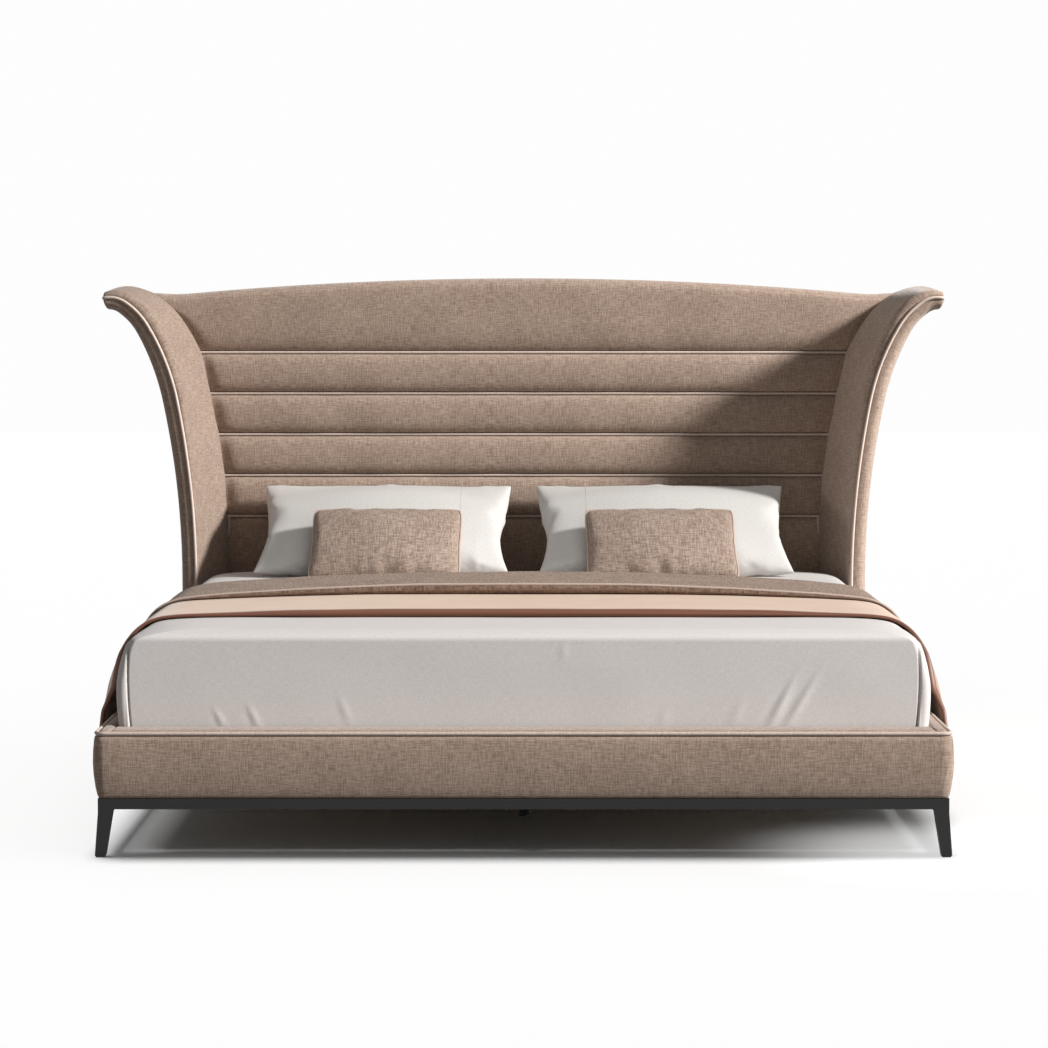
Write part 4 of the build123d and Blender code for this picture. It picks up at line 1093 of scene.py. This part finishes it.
def pull_height(x, z):
    """How far the sheet stands out along its pulls, at a place on the front face."""
    total = 0.0
    for x0, z0, x1, z1, height, width in pull_lines:
        run = np.array([x1 - x0, z1 - z0])
        length = np.linalg.norm(run)
        way = run / length
        along = ((x - x0) * way[0] + (z - z0) * way[1]) / length
        aside = (x - x0) * way[1] - (z - z0) * way[0]
        if abs(aside) > 6 * width:
            continue
        wide = width * (0.7 + 0.6 * min(max(along, 0.0), 1.0))
        fade = math.exp(-((along - 0.66) / 0.40) ** 2)
        ridge = math.exp(-(aside / wide) ** 2)
        furrow = 0.3 * math.exp(-((aside - 1.6 * wide) / wide) ** 2)
        total += height * fade * (ridge - furrow)
    return total


def pleat_shape(x, z):
    """The folded pleat at each front corner: a dark slot, and the flap outside it that stands out."""
    fall = np.clip((0.4895 - z) / 0.010, 0, 1) * np.clip((z - 0.20) / 0.02, 0, 1)
    down = np.clip((0.485 - z) / 0.20, 0, 1)
    line_x = 0.8925 + 0.018 * down * (1 - down) - 0.003 * down
    gap = abs(x) - line_x
    slot = -0.0075 * math.exp(-(gap / 0.0016) ** 2)
    flap = 0.0026 * np.clip((gap - 0.0010) / 0.003, 0, 1) * (0.35 + 0.65 * down)
    return (slot + flap) * fall


# %% [markdown]
# The sheet is a stack of level rings. Under the coverlet it keeps the mattress's soft shoulder, and at the
# foot it is pulled tight over a squarer edge. Two tables say how far in it lies there, and inner rings
# close the top.

# %% Fitted sheet
sheet_gap = 0.003
sheet_top = 0.5013
front_round = 0.034
tight_round = 0.017
share_line = smooth_line(mattress_shares, 5)
# height in metres, and how far in the tight sheet lies there: at the front, and at the sides
front_edge = ((0.0, 0.0), (0.4700, 0.0), (0.4745, 0.0008), (0.4785, 0.0030), (0.4818, 0.0065),
              (0.4842, 0.0115), (0.4866, 0.019), (0.4900, 0.034), (0.4940, 0.056), (0.4975, 0.085),
              (0.5000, 0.12), (sheet_top, 0.16))
side_edge = ((0.0, 0.0), (0.385, 0.0), (0.42, 0.0024), (0.445, 0.0062), (0.462, 0.0105), (0.4745, 0.0155),
             (0.4785, 0.0185), (0.4818, 0.0225), (0.4842, 0.027), (0.4866, 0.034), (0.4900, 0.047),
             (0.4940, 0.066), (0.4975, 0.090), (0.5000, 0.12), (sheet_top, 0.16))


def ease(value, start, end):
    """0 before start, 1 after end, and a smooth change between."""
    part = np.clip((value - start) / (end - start), 0, 1)
    return part * part * (3 - 2 * part)


def sheet_bulge(x, y, z, wx, wy):
    """How far the sheet stands out from its ring at a place: unevenness, pulls, pleats and full sides."""
    out = 0.0012 * ripple((x, y, z), 0.18, 4.0) * np.clip((0.47 - z) / 0.05, 0, 1)
    if wy < -0.5 and abs(x) < 0.88:
        out += pull_height(x, z)
    if y < mattress_front_y + 0.09:
        out += pleat_shape(x, z) * (1 - ease(y, mattress_front_y + 0.03, mattress_front_y + 0.09))
    side_swell = 0.010 * math.exp(-((z - 0.36) / 0.085) ** 2) * np.clip((wx * np.sign(x) - 0.3) / 0.7, 0, 1)
    return out + side_swell * math.exp(-((y - mattress_front_y) / 0.5) ** 2)


sheet_heights = [*np.arange(mattress_bottom, 0.466, 0.0048), *np.arange(0.4675, 0.4995, 0.0016), 0.5001,
                 0.5006, 0.5010, sheet_top]
sheet_rows = []
for z in sheet_heights:
    up = (z - mattress_bottom) / (mattress_height + sheet_gap)
    soft_inset = np.interp(up, share_line[:, 0], share_line[:, 1]) * mattress_shoulder - sheet_gap
    tight_inset = np.interp(z, *np.array(side_edge).T) - sheet_gap
    front_inset = np.interp(z - 0.008, *np.array(front_edge).T) - sheet_gap
    soft_ring = rounded_ring(soft_inset, front_round, back_round)
    tight_ring = rounded_ring(tight_inset, tight_round, back_round)
    row = []
    # a ring's point is X, Y and the way outwards
    for soft, tight in zip(soft_ring, tight_ring):
        under = ease(soft[1], -0.83, -0.70)
        tight[1] += (front_inset - tight_inset) * max(0.0, -tight[3])
        x, y, wx, wy = soft * under + tight * (1 - under)
        out = sheet_bulge(x, y, z, wx, wy)
        row.append((x + wx * out, y + wy * out, z))
    sheet_rows.append(row)
for inset in (0.24, 0.30, 0.40, 0.52, 0.66, 0.80, 0.895):
    ring = rounded_ring(inset, min(front_round, 0.9 - inset), min(back_round, 0.9 - inset))
    sheet_rows.append([(x, y, sheet_top + 0.0008 * ripple((x, y, 0.0), 0.2, 6.0)) for x, y, wx, wy in ring])
fitted_sheet = skin("fitted_sheet_cloth", sheet_rows, sheet_weave, caps=False)
face_outwards(fitted_sheet.data, hole_size=len(sheet_rows[0]))
bed_piece(fitted_sheet, "sheet_cotton", "fitted_sheet", body="mattress")

# %% [markdown]
# ## The blanket and the coverlet
#
# Both lie over the foot half of the bed and hang outside the rails. Each is drawn as a line across the bed
# on its outer face, and the inner face is that line moved inwards by the cloth's thickness. At the front and
# at the back the thickness runs out in a quarter round, which gives the rolled edge.

# %% Lines across the bed
blanket_line = ((0.0, 0.5223), (0.30, 0.5220), (0.50, 0.5195), (0.60, 0.5170), (0.70, 0.5132), (0.76, 0.5108),
                (0.83, 0.5072), (0.874, 0.5000), (0.907, 0.4828), (0.932, 0.4565), (0.953, 0.4180),
                (0.969, 0.3760), (0.981, 0.3240), (0.989, 0.2580), (0.9925, 0.2035))
line_spacing = 0.007


def across_line(points):
    """A line from the left hem to the right hem, from its right half, and its outward ways."""
    half = smooth_line(points, 30)
    run = run_along(half)
    even = np.linspace(0, run[-1], round(run[-1] / line_spacing) + 1)
    half = np.stack([np.interp(even, run, half[:, axis]) for axis in (0, 1)], axis=1)
    line = np.concatenate([half[::-1] * np.array([-1, 1]), half[1:]])
    ways = ways_along(line)
    return line, np.stack([-ways[:, 1], ways[:, 0]], axis=1)


def layered_cloth(name, line, ways, thick, front_y, back_y, edge_round, wave, material, tuck=lambda z: 0.0):
    """A cloth with two faces over the bed. front_y and back_y give Y for each point of the line, and tuck
    says how far the front edge is drawn in towards the mattress at a height."""
    inner_line = line - ways * thick[:, None]
    rows = []
    rounding = [(1 - math.cos(a), math.sin(a)) for a in np.linspace(0.25, math.pi / 2, 7)]
    shares = [("front", forward, rise) for forward, rise in rounding]
    shares += [("middle", share, 1.0) for share in np.linspace(0, 1, 60)[1:-1]]
    shares += [("back", forward, rise) for forward, rise in reversed(rounding)]
    for zone, share, rise in shares:
        outer_row, inner_row = [], []
        places = zip(line, ways, inner_line, thick, front_y, back_y)
        for (x, z), (wx, wz), (ix, iz), deep, start, end in places:
            reach = edge_round * deep
            if zone == "front":
                y = start + reach * share
            elif zone == "back":
                y = end - reach * share
            else:
                y = start + reach + share * (end - start - 2 * reach)
            lift = wave(x, y, z) * (1.0 if zone == "middle" else rise)
            full = deep * (0.5 + 0.5 * rise)
            low = deep * (0.5 - 0.5 * rise)
            behind = y - start
            pull = math.exp(-(behind / 0.036) ** 2) - 0.3 * math.exp(-((behind - 0.085) / 0.05) ** 2)
            pull *= tuck(z) * math.copysign(1.0, x)
            outer_row.append((ix - pull + wx * (full + lift), y, iz + wz * (full + lift)))
            inner_row.append((ix - pull + wx * low, y, iz + wz * low))
        rows.append(outer_row + inner_row[::-1])
    return skin(name, rows, material)


# %% Blanket
blanket_front_y = -0.663
blanket_slant = 0.135
blanket_back_y = 0.232
blanket_outer, blanket_ways = across_line(blanket_line)
blanket_x, blanket_z = blanket_outer.T
thick_on_top, thick_at_sides = 0.0205, 0.0075
on_side = np.clip((abs(blanket_x) - 0.40) / 0.38, 0, 1)
blanket_thick = thick_on_top + (thick_at_sides - thick_on_top) * on_side
blanket_thick += 0.011 * np.exp(-((blanket_z - 0.375) / 0.040) ** 2) * (abs(blanket_x) > 0.85)
hang = np.clip((0.505 - blanket_z) / 0.30, 0, 1)
blanket_front = blanket_front_y - blanket_slant * hang ** 0.9
blanket_back = np.full(len(blanket_outer), blanket_back_y)


def blanket_wave(x, y, z):
    """Slow swells on top and soft upright folds where the blanket hangs."""
    if abs(x) < 0.88:
        return 0.0013 * ripple((x, y * 1.6, 0.0), 0.16, 21.0)
    return 0.004 * ripple((0.0, y, z * 0.25), 0.10, 23.0) * min(1.0, (0.52 - z) / 0.12)


def blanket_tuck(z):
    """The hanging front edge lies against the mattress, and the cloth behind it bells out."""
    return np.interp(z, (0.292, 0.312, 0.345, 0.385, 0.420, 0.450), (0.0, 0.006, 0.013, 0.006, 0.0, 0.0))


blanket = layered_cloth("blanket_cloth", blanket_outer, blanket_ways, blanket_thick, blanket_front,
                        blanket_back, 0.62, blanket_wave, blanket_satin, blanket_tuck)


def mark_painted_shade(piece, front, reach):
    """Store which points lie within reach of the front edge, and which hang down, for the shade that the
    materials paint there.
    """
    starts = np.concatenate([front, front[::-1]])
    points = get_points(piece.data)
    behind = points[:, 1] - np.tile(starts, len(points) // len(starts))
    # 'edge' marks where the darker rolled edge is painted as shade, 'hang' the hanging sides that are painted
    # darker as shade.
    marks = {"edge": np.clip((reach - behind) / 0.003, 0, 1), "hang": ease(-points[:, 2], -0.512, -0.455)}
    for label, values in marks.items():
        piece.data.attributes.new(label, "FLOAT", "POINT").data.foreach_set("value", values)


mark_painted_shade(blanket, blanket_front, 0.0125)
bed_piece(blanket, "blanket_satin", "blanket", body="mattress")

# %% [markdown]
# The coverlet lies on the blanket and takes its line from it. It is thick in the middle and thin at its
# hanging sides. A welt is sewn along its front edge, with a row of stitches behind it.

# %% Coverlet
coverlet_front_y = -0.237
coverlet_back_y = 0.242
welt_y = -0.2245
hem_y = -0.2100
pucker_y = -0.228
coverlet_lift = np.interp(abs(blanket_x), (0.0, 0.26, 0.50, 0.60, 0.74, 0.82, 0.88, 0.94, 1.0),
                          (0.0242, 0.0232, 0.0165, 0.0135, 0.0105, 0.0066, 0.0044, 0.0048, 0.0062))
keep = blanket_z > 0.226
coverlet_outer = (blanket_outer + blanket_ways * coverlet_lift[:, None])[keep]
coverlet_ways = blanket_ways[keep]
coverlet_thick = (coverlet_lift - 0.0016)[keep]
coverlet_front = np.full(len(coverlet_outer), coverlet_front_y)
coverlet_back = np.full(len(coverlet_outer), coverlet_back_y)


def coverlet_wave(x, y, z):
    """A padded, slightly lumpy cloth with puckers behind its welted front edge."""
    near_front = math.exp(-((y - pucker_y) / 0.016) ** 2)
    cluster = max(0.0, 0.25 + ripple((x, 0.0, 0.0), 0.11, 35.0))
    pucker = -0.0075 * near_front * cluster * max(0.0, ripple((x, 0.0, z), 0.0095, 31.0))
    return 0.0018 * ripple((x, y, z), 0.09, 33.0) + pucker


coverlet = layered_cloth("coverlet_cloth", coverlet_outer, coverlet_ways, coverlet_thick, coverlet_front,
                         coverlet_back, 0.75, coverlet_wave, coverlet_weave)
mark_painted_shade(coverlet, coverlet_front, 0.0118)
bed_piece(coverlet, "coverlet_weave", "coverlet", body="mattress", fill=0.35)


def along_coverlet(y):
    """A line across the bed, just above the coverlet."""
    return [(x + wx * 0.0006, y, z + wz * 0.0006) for (x, z), (wx, wz) in zip(coverlet_outer, coverlet_ways)]


# The welt is a real cord; its paler cloth is a painted highlight on the crest of the coverlet's roll.
coverlet_welt = piping("coverlet_welt", [along_coverlet(welt_y)], 0.0032, welt_weave)
bed_piece(coverlet_welt, "coverlet_weave", body="mattress")
coverlet_stitches = stitches("coverlet_stitches", [along_coverlet(hem_y)], 0.0080, 0.0055, 0.0006, welt_weave)
bed_piece(coverlet_stitches, "coverlet_weave", body="mattress")

# %% [markdown]
# ## Pillows and cushions
#
# A filled case is two flat cloths sewn together and stuffed: fullest in the middle, thin along the seam,
# with sides that pull in between the corners and folds that run in from them. The cloth simulation makes
# exactly that from two flat grids that share their edge, blown up from inside. One pillow and one cushion
# are blown up and reshaped to the size of the CAD part, and the other of each pair is its mirror image.


# %% Two grids with one seam
def flat_case(name, width, height, step):
    """Two grids of cloth that share their outer edge, X across and Y up, with the seam's point numbers."""
    across, up = round(width / step) + 1, round(height / step) + 1
    points, faces, corners = [], [], []
    number = {}
    for layer in (0, 1):
        for r in range(up):
            for c in range(across):
                edge = r in (0, up - 1) or c in (0, across - 1)
                if layer and edge:
                    number[1, r, c] = number[0, r, c]
                    continue
                u, v = 2 * c / (across - 1) - 1, 2 * r / (up - 1) - 1
                lift = 0.0 if edge else 0.006 + 0.014 * (1 - u ** 4) * (1 - v ** 4)
                number[layer, r, c] = len(points)
                points.append((u * width / 2, v * height / 2, -lift if layer else lift))
        for r in range(up - 1):
            for c in range(across - 1):
                square = [(r, c), (r, c + 1), (r + 1, c + 1), (r + 1, c)]
                square = square[::-1] if layer else square
                faces.append([number[(layer, *place_in)] for place_in in square])
                corners += [(column * step + 3.1 * layer, row * step) for row, column in square]
    mesh = bpy.data.meshes.new(name)
    mesh.from_pydata(points, [], faces)
    mesh.uv_layers.new(name="cloth").data.foreach_set("uv", np.array(corners, float).ravel())
    foot = [number[0, 0, c] for c in range(across)]
    right = [number[0, r, across - 1] for r in range(up)]
    top = [number[0, up - 1, c] for c in range(across)]
    left = [number[0, r, 0] for r in range(up)]
    return mesh, (foot, right, top, left)


# %% [markdown]
# The pressure blows the case up in a few frames. Then the case is bent to the outline that the photograph
# shows, and its thickness is scaled.

# %% Blow a case up
filling_pressure = 3.0
filling_frames = 26
cloth_stiffness = 12.0


def blow_up(mesh):
    """The points of a case after a cloth simulation with filling pressure inside and no gravity."""
    holder = new_object("case to fill", mesh)
    modifier = holder.modifiers.new("filling", "CLOTH")
    cloth = modifier.settings
    cloth.quality = 5
    cloth.mass = 0.25
    cloth.use_pressure = True
    cloth.uniform_pressure_force = filling_pressure
    cloth.tension_stiffness = cloth_stiffness
    cloth.compression_stiffness = cloth_stiffness
    cloth.shear_stiffness = cloth_stiffness / 4
    cloth.bending_stiffness = 0.4
    cloth.air_damping = 3.0
    cloth.effector_weights.gravity = 0.0
    modifier.point_cache.frame_start = 1
    modifier.point_cache.frame_end = filling_frames
    for frame_number in range(1, filling_frames + 1):
        scene.frame_set(frame_number)
    blown = holder.evaluated_get(bpy.context.evaluated_depsgraph_get())
    points = get_points(blown.data).copy()
    bpy.data.objects.remove(holder)
    scene.frame_set(1)
    return points


def soften(mesh, points, rounds):
    """Move each point part of the way to the middle of its neighbours."""
    pairs = np.array([edge.vertices[:] for edge in mesh.edges])
    count = np.bincount(pairs.ravel(), minlength=len(points))[:, None]
    for _ in range(rounds):
        total = np.zeros_like(points)
        np.add.at(total, pairs[:, 0], points[pairs[:, 1]])
        np.add.at(total, pairs[:, 1], points[pairs[:, 0]])
        points = (points + total / count) / 2
    return points


def soft_limit(share):
    """Press what stands out past the seam back to it, without a step."""
    far = abs(share)
    start = 0.86
    room = 0.14
    return np.sign(share) * np.where(far < start, far, start + room * (1 - np.exp(-(far - start) / room)))


def fit_outline(points, seam, width, height, outer_side, inner_side, corner_share):
    """Bend a case to its outline. The two sides are given as shares of the half width at five heights."""
    foot, right, top, left = seam
    reach, rise = np.zeros(len(points)), np.zeros(len(points))
    for side, sign in ((right, 1), (left, -1)):
        on_side = points[:, 0] * sign >= 0
        reach[on_side] = np.interp(points[on_side, 1], points[side, 1], abs(points[side, 0]))
    for level, sign in ((top, 1), (foot, -1)):
        on_level = points[:, 1] * sign >= 0
        rise[on_level] = np.interp(points[on_level, 0], points[level, 0], abs(points[level, 1]))
    u, v = (soft_limit(points[:, axis] / size) for axis, size in ((0, reach), (1, rise)))
    corner = 1 - corner_share * abs(u * v) ** 9
    heights = (-1.0, -0.66, -0.28, 0.2, 1.0)
    tables = [smooth_line(list(zip(heights, shares)), 8) for shares in (outer_side, inner_side)]
    outer, inner = [np.interp(v, table[:, 0], table[:, 1]) for table in tables]
    thin = 1 - 0.42 * ease(v, 0.25, 1.0)
    return np.stack([u * width / 2 * np.where(u < 0, outer, inner) * corner,
                     v * height / 2 * (1 - 0.005 * (1 - u ** 2)) * corner, points[:, 2] * thin], axis=1)


def filled_points(name, width, height, thickness, step, outline):
    """Mesh, seam and filled points of a case, bent to its outline and scaled to the CAD part's size."""
    mesh, seam = flat_case(name, width * 1.05, height * 1.07, step)
    points = blow_up(mesh)
    size = points.max(0) - points.min(0)
    print(name, "blown up to", [round(float(part), 3) for part in size])
    points -= (points.max(0) + points.min(0)) / 2
    points = fit_outline(points, seam, width, height, *outline)
    size = points.max(0) - points.min(0)
    return mesh, seam, points * np.array([width, height, thickness]) / size


# %% [markdown]
# A filled case lies flat at first. It is leant back about the middle of its CAD part, and its faces are
# made finer there.

# %% Standing a case up in its place
case_middles = {}
for node_name in ("pillow_left", "pillow_right", "cushion_left", "cushion_right"):
    low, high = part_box(node_name)
    case_middles[node_name] = (low + high) / 2


def stand_up(points, node_name, lean_degrees, side):
    """Lean a flat case back where its CAD part is. Where side is -1 it is the mirror image."""
    centre = case_middles[node_name]
    lean = math.radians(lean_degrees)
    x, y, z = points.T
    return np.stack([x * side + centre[0], y * math.cos(lean) - z * math.sin(lean) + centre[1],
                     y * math.sin(lean) + z * math.cos(lean) + centre[2]], axis=1)


def standing_case(name, source, points, material, flip):
    """A case at its place; a mirrored one has its faces flipped, so that they point outwards."""
    mesh = source.copy()
    mesh.name = name
    set_points(mesh, points)
    if flip:
        mesh.flip_normals()
    piece = add_piece(name, mesh, material)
    finer = piece.modifiers.new("finer", "SUBSURF")
    finer.levels = finer.render_levels = 1
    return piece


# %% [markdown]
# The pillows' cases are hemmed where they open, and a row of stitches marks that flap. After filling, a
# pillow's upper part sags a little.

# %% Pillows
pillow_width, pillow_height, pillow_thickness = 0.712, 0.440, 0.150
pillow_lean = 33.0
pillow_outline = ((1.09, 1.03, 0.985, 1.0, 1.055), (1.02, 0.965, 0.94, 0.985, 1.035), 0.0)
pillow_mesh, _, pillow_points = filled_points("pillow case", pillow_width, pillow_height, pillow_thickness,
                                              0.0075, pillow_outline)
flap_x = 0.29 * pillow_width


def settle(points):
    """The pillow sags: its upper part is lower in the middle, and its sides are flatter."""
    u, v = np.clip(points[:, 0] / (pillow_width / 2), -1, 1), points[:, 1] / (pillow_height / 2)
    up = ease(v, 0.0, 1.0)
    return np.stack([points[:, 0], points[:, 1] - 0.027 * up,
                     points[:, 2] * (1 - 0.42 * u ** 2) - 0.015 * (1 - u ** 2) * up], axis=1)


pillow_points = settle(soften(pillow_mesh, pillow_points, 3))


def flap_line(points):
    """A line down the front of a case, where the flap of its opening is hemmed."""
    front = points[points[:, 2] > 0.0008]
    line = []
    for y in np.linspace(-0.97, 0.97, 40) * pillow_height / 2:
        gap = (front[:, 0] - flap_x) ** 2 + (front[:, 1] - y) ** 2
        near = np.argsort(gap)[:6]
        weight = 1 / (gap[near] + 1e-6)
        z = float((front[near, 2] * weight).sum() / weight.sum())
        line.append((flap_x, y, z + 0.0002))
    return np.array(line)


pillow_flap = flap_line(pillow_points)
for side_name, side in (("left", 1), ("right", -1)):
    node_name = f"pillow_{side_name}"
    placed = stand_up(pillow_points, node_name, pillow_lean, side)
    pillow = standing_case(f"pillow_case_{side_name}", pillow_mesh, placed, pillow_weave, side < 0)
    bed_piece(pillow, "pillow_cotton", node_name, body=node_name, fill=0.6)
    hem = stand_up(pillow_flap, node_name, pillow_lean, side)
    flap_hem = stitches(f"pillow_flap_{side_name}", [hem], 0.0042, 0.0030, 0.0005, pillow_weave)
    bed_piece(flap_hem, "pillow_cotton", body=node_name)

# %% [markdown]
# The cushions are smaller and fuller, with gathers low on the front and a thin cord round the seam.

# %% Cushions
cushion_width, cushion_height, cushion_thickness = 0.410, 0.250, 0.104
cushion_lean = 45.0
cushion_outline = ((1.055, 1.025, 1.0, 0.99, 1.0), (1.01, 0.995, 0.99, 1.0, 1.02), 0.10)
cushion_mesh, cushion_seam, cushion_points = filled_points("cushion case", cushion_width, cushion_height,
                                                           cushion_thickness, 0.006, cushion_outline)
# each fold's place across the front, its upper end and its depth in metres
cushion_folds = ((-0.74, -0.35, 0.0010), (-0.50, -0.10, 0.0014), (-0.36, -0.30, 0.0011),
                 (-0.20, 0.00, 0.0015), (-0.03, -0.25, 0.0012), (0.12, 0.05, 0.0016),
                 (0.30, -0.20, 0.0011), (0.52, -0.40, 0.0009))


def gather(points):
    """Short upright folds in the lower half of the front, where a cushion's weight crumples its cloth."""
    u, v = points[:, 0] / (cushion_width / 2), points[:, 1] / (cushion_height / 2)
    folds = np.zeros(len(points))
    for place_u, top_v, depth in cushion_folds:
        lean = place_u + 0.05 * (v + 1) * np.sign(place_u + 0.1)
        fold = 0.7 * depth * np.exp(-((u - lean) / 0.030) ** 2)
        fold *= np.clip((top_v - v) / 0.25, 0, 1)
        folds += fold * np.clip((v + 1) / 0.12, 0, 1)
    return points - np.stack([0 * u, 0 * u, folds * (points[:, 2] > 0)], axis=1)


cushion_points = gather(soften(cushion_mesh, cushion_points, 7))
foot, right, top, left = cushion_seam
round_seam = foot[:-1] + right[:-1] + top[:0:-1] + left[:0:-1]
grown = cushion_points * [1 + 0.005 / cushion_width, 1 + 0.005 / cushion_height, 1]
for side_name, side in (("left", 1), ("right", -1)):
    node_name = f"cushion_{side_name}"
    placed = stand_up(cushion_points, node_name, cushion_lean, side)
    cushion = standing_case(f"cushion_case_{side_name}", cushion_mesh, placed, cushion_weave, side < 0)
    bed_piece(cushion, "cushion_weave", node_name, body=node_name, fill=0.7)
    seam_line = stand_up(grown, node_name, cushion_lean, side)[round_seam]
    cord = piping(f"cushion_cord_{side_name}", [seam_line], 0.0028, welt_weave, closed=True)
    bed_piece(cord, "cushion_piping", f"cushion_piping_{side_name}", body=node_name)

# %% [markdown]
# ## Floor, world and lamps
#
# The photograph has one clear light, low on the right, which throws the right wing's soft shadow over the
# headboard. It fades towards the left, so a second lamp stands nearer on the same side. A softer one in front
# on the right makes the front paler towards that side, a weak one in front lights the pillows and cushions,
# and a reflector on the left opens the shaded wing. On the floor the photograph shows only a soft shadow
# under the bed, so light linking gives the floor its own lamps: a broad one above, and a low one that
# brightens it on the right. The floor and the world are white to the camera and greyer to other rays, so
# they send little light back up.


# %% Floor and world
def seen_directly(tree):
    """1 for rays that show a thing in the picture, straight, in a gloss or through glass; else 0."""
    rays = place(tree, "ShaderNodeLightPath")
    seen = calculate(tree, "MAXIMUM", rays.outputs["Is Camera Ray"], rays.outputs["Is Glossy Ray"])
    return calculate(tree, "MAXIMUM", seen, rays.outputs["Is Transmission Ray"])


def floor_material():
    """White where it is seen, grey for the light that it sends back."""
    material, tree, shader = start_material("studio floor", 0.9)
    shade = blend_colours(tree, seen_directly(tree), (0.20, 0.20, 0.20, 1.0), (0.97, 0.97, 0.97, 1.0))
    tree.links.new(shade, shader.inputs["Base Color"])
    return material


floor_reach = 30
floor_corners = [(x * floor_reach, y * floor_reach, 0) for x, y in ((-1, -1), (1, -1), (1, 1), (-1, 1))]
floor_mesh = bpy.data.meshes.new("floor")
floor_mesh.from_pydata(floor_corners, [], [(0, 1, 2, 3)])
floor_mesh.materials.append(floor_material())
floor = new_object("floor", floor_mesh)

world = bpy.data.worlds.new("studio")
scene.world = world
world.use_nodes = True
backdrop = world.node_tree.nodes["Background"]
backdrop.inputs["Color"].default_value = (1.0, 1.0, 1.0, 1.0)
strength = calculate(world.node_tree, "MULTIPLY_ADD", seen_directly(world.node_tree), 0.785, 0.20)
world.node_tree.links.new(strength, backdrop.inputs["Strength"])


# %% Lamps
floor_only = bpy.data.collections.new("floor only")
floor_only.objects.link(floor)
all_but_floor = bpy.data.collections.new("all but the floor")
all_but_floor.objects.link(floor)
all_but_floor.collection_objects[0].light_linking.link_state = "EXCLUDE"


def lamp(name, kind, energy, way, receivers, place_at=(0.0, 0.0, 0.0), **settings):
    """A lamp that shines along way and lights only its receivers."""
    data = bpy.data.lights.new(name, kind)
    data.energy = energy
    for key, value in settings.items():
        setattr(data, key, value)
    holder = new_object(name, data)
    holder.location = place_at
    holder.rotation_euler = Vector(way).to_track_quat("-Z", "Y").to_euler()
    holder.light_linking.receiver_collection = receivers
    holder.visible_camera = False
    return holder


def chosen(name, *starts):
    """A collection of the finished pieces whose names begin in one of these ways."""
    group = bpy.data.collections.new(name)
    for piece in bpy.data.objects:
        if piece.type == "MESH" and piece.name.startswith(starts):
            group.objects.link(piece)
    return group


head_end = chosen("head end", "wing_right", "wing_piping_cord", "channel_", "top_pad", "lower_pad")
pillow_group = chosen("pillows and cushions", "pillow_", "cushion_")
foot_end = chosen("foot end", "rails", "rail_piping_cord", "fitted_sheet_cloth", "blanket_cloth", "coverlet_",
                  "plinth_", "leg_")
key_way = (-3.0, 1.0, -1.6)
lamp("key", "SUN", 4.65, key_way, all_but_floor, angle=math.radians(7))
lamp("near key", "AREA", 350.0, key_way, head_end, (5.23, -0.51, 3.46), size=0.7)
lamp("softbox", "AREA", 48.0, (-3.0, 1.6, -1.9), foot_end, (3.0, -2.6, 2.4), size=1.2)
lamp("pillow fill", "AREA", 17.0, (-0.25, 1.0, -0.35), pillow_group, (0.6, -1.6, 1.55), size=1.6)
shaded_wing = chosen("wing in shade", "wing_right")
lamp("left reflector", "AREA", 20.0, (1.0, 0.12, -0.12), shaded_wing, (-2.7, 0.45, 1.45), size=0.6)
low_right = lamp("low floor light", "SPOT", 34.0, (-0.10, 0.0, -1.0), floor_only, (1.10, -1.0, 1.2),
                 spot_size=math.radians(46), spot_blend=1.0, shadow_soft_size=0.1)
overhead = lamp("floor light", "SUN", 2.56, (0.12, -0.14, -1.0), floor_only, angle=math.radians(28))
overhead.light_linking.blocker_collection = chosen("shadow makers", "rails", "mattress_body", "plinth_",
                                                   "leg_front_", "leg_rear_", "support_leg_front",
                                                   "centre_beam")
no_shadow = bpy.data.collections.new("no shadow makers")
no_shadow.objects.link(floor)
low_right.light_linking.blocker_collection = no_shadow
scene.view_settings.view_transform = "Standard"
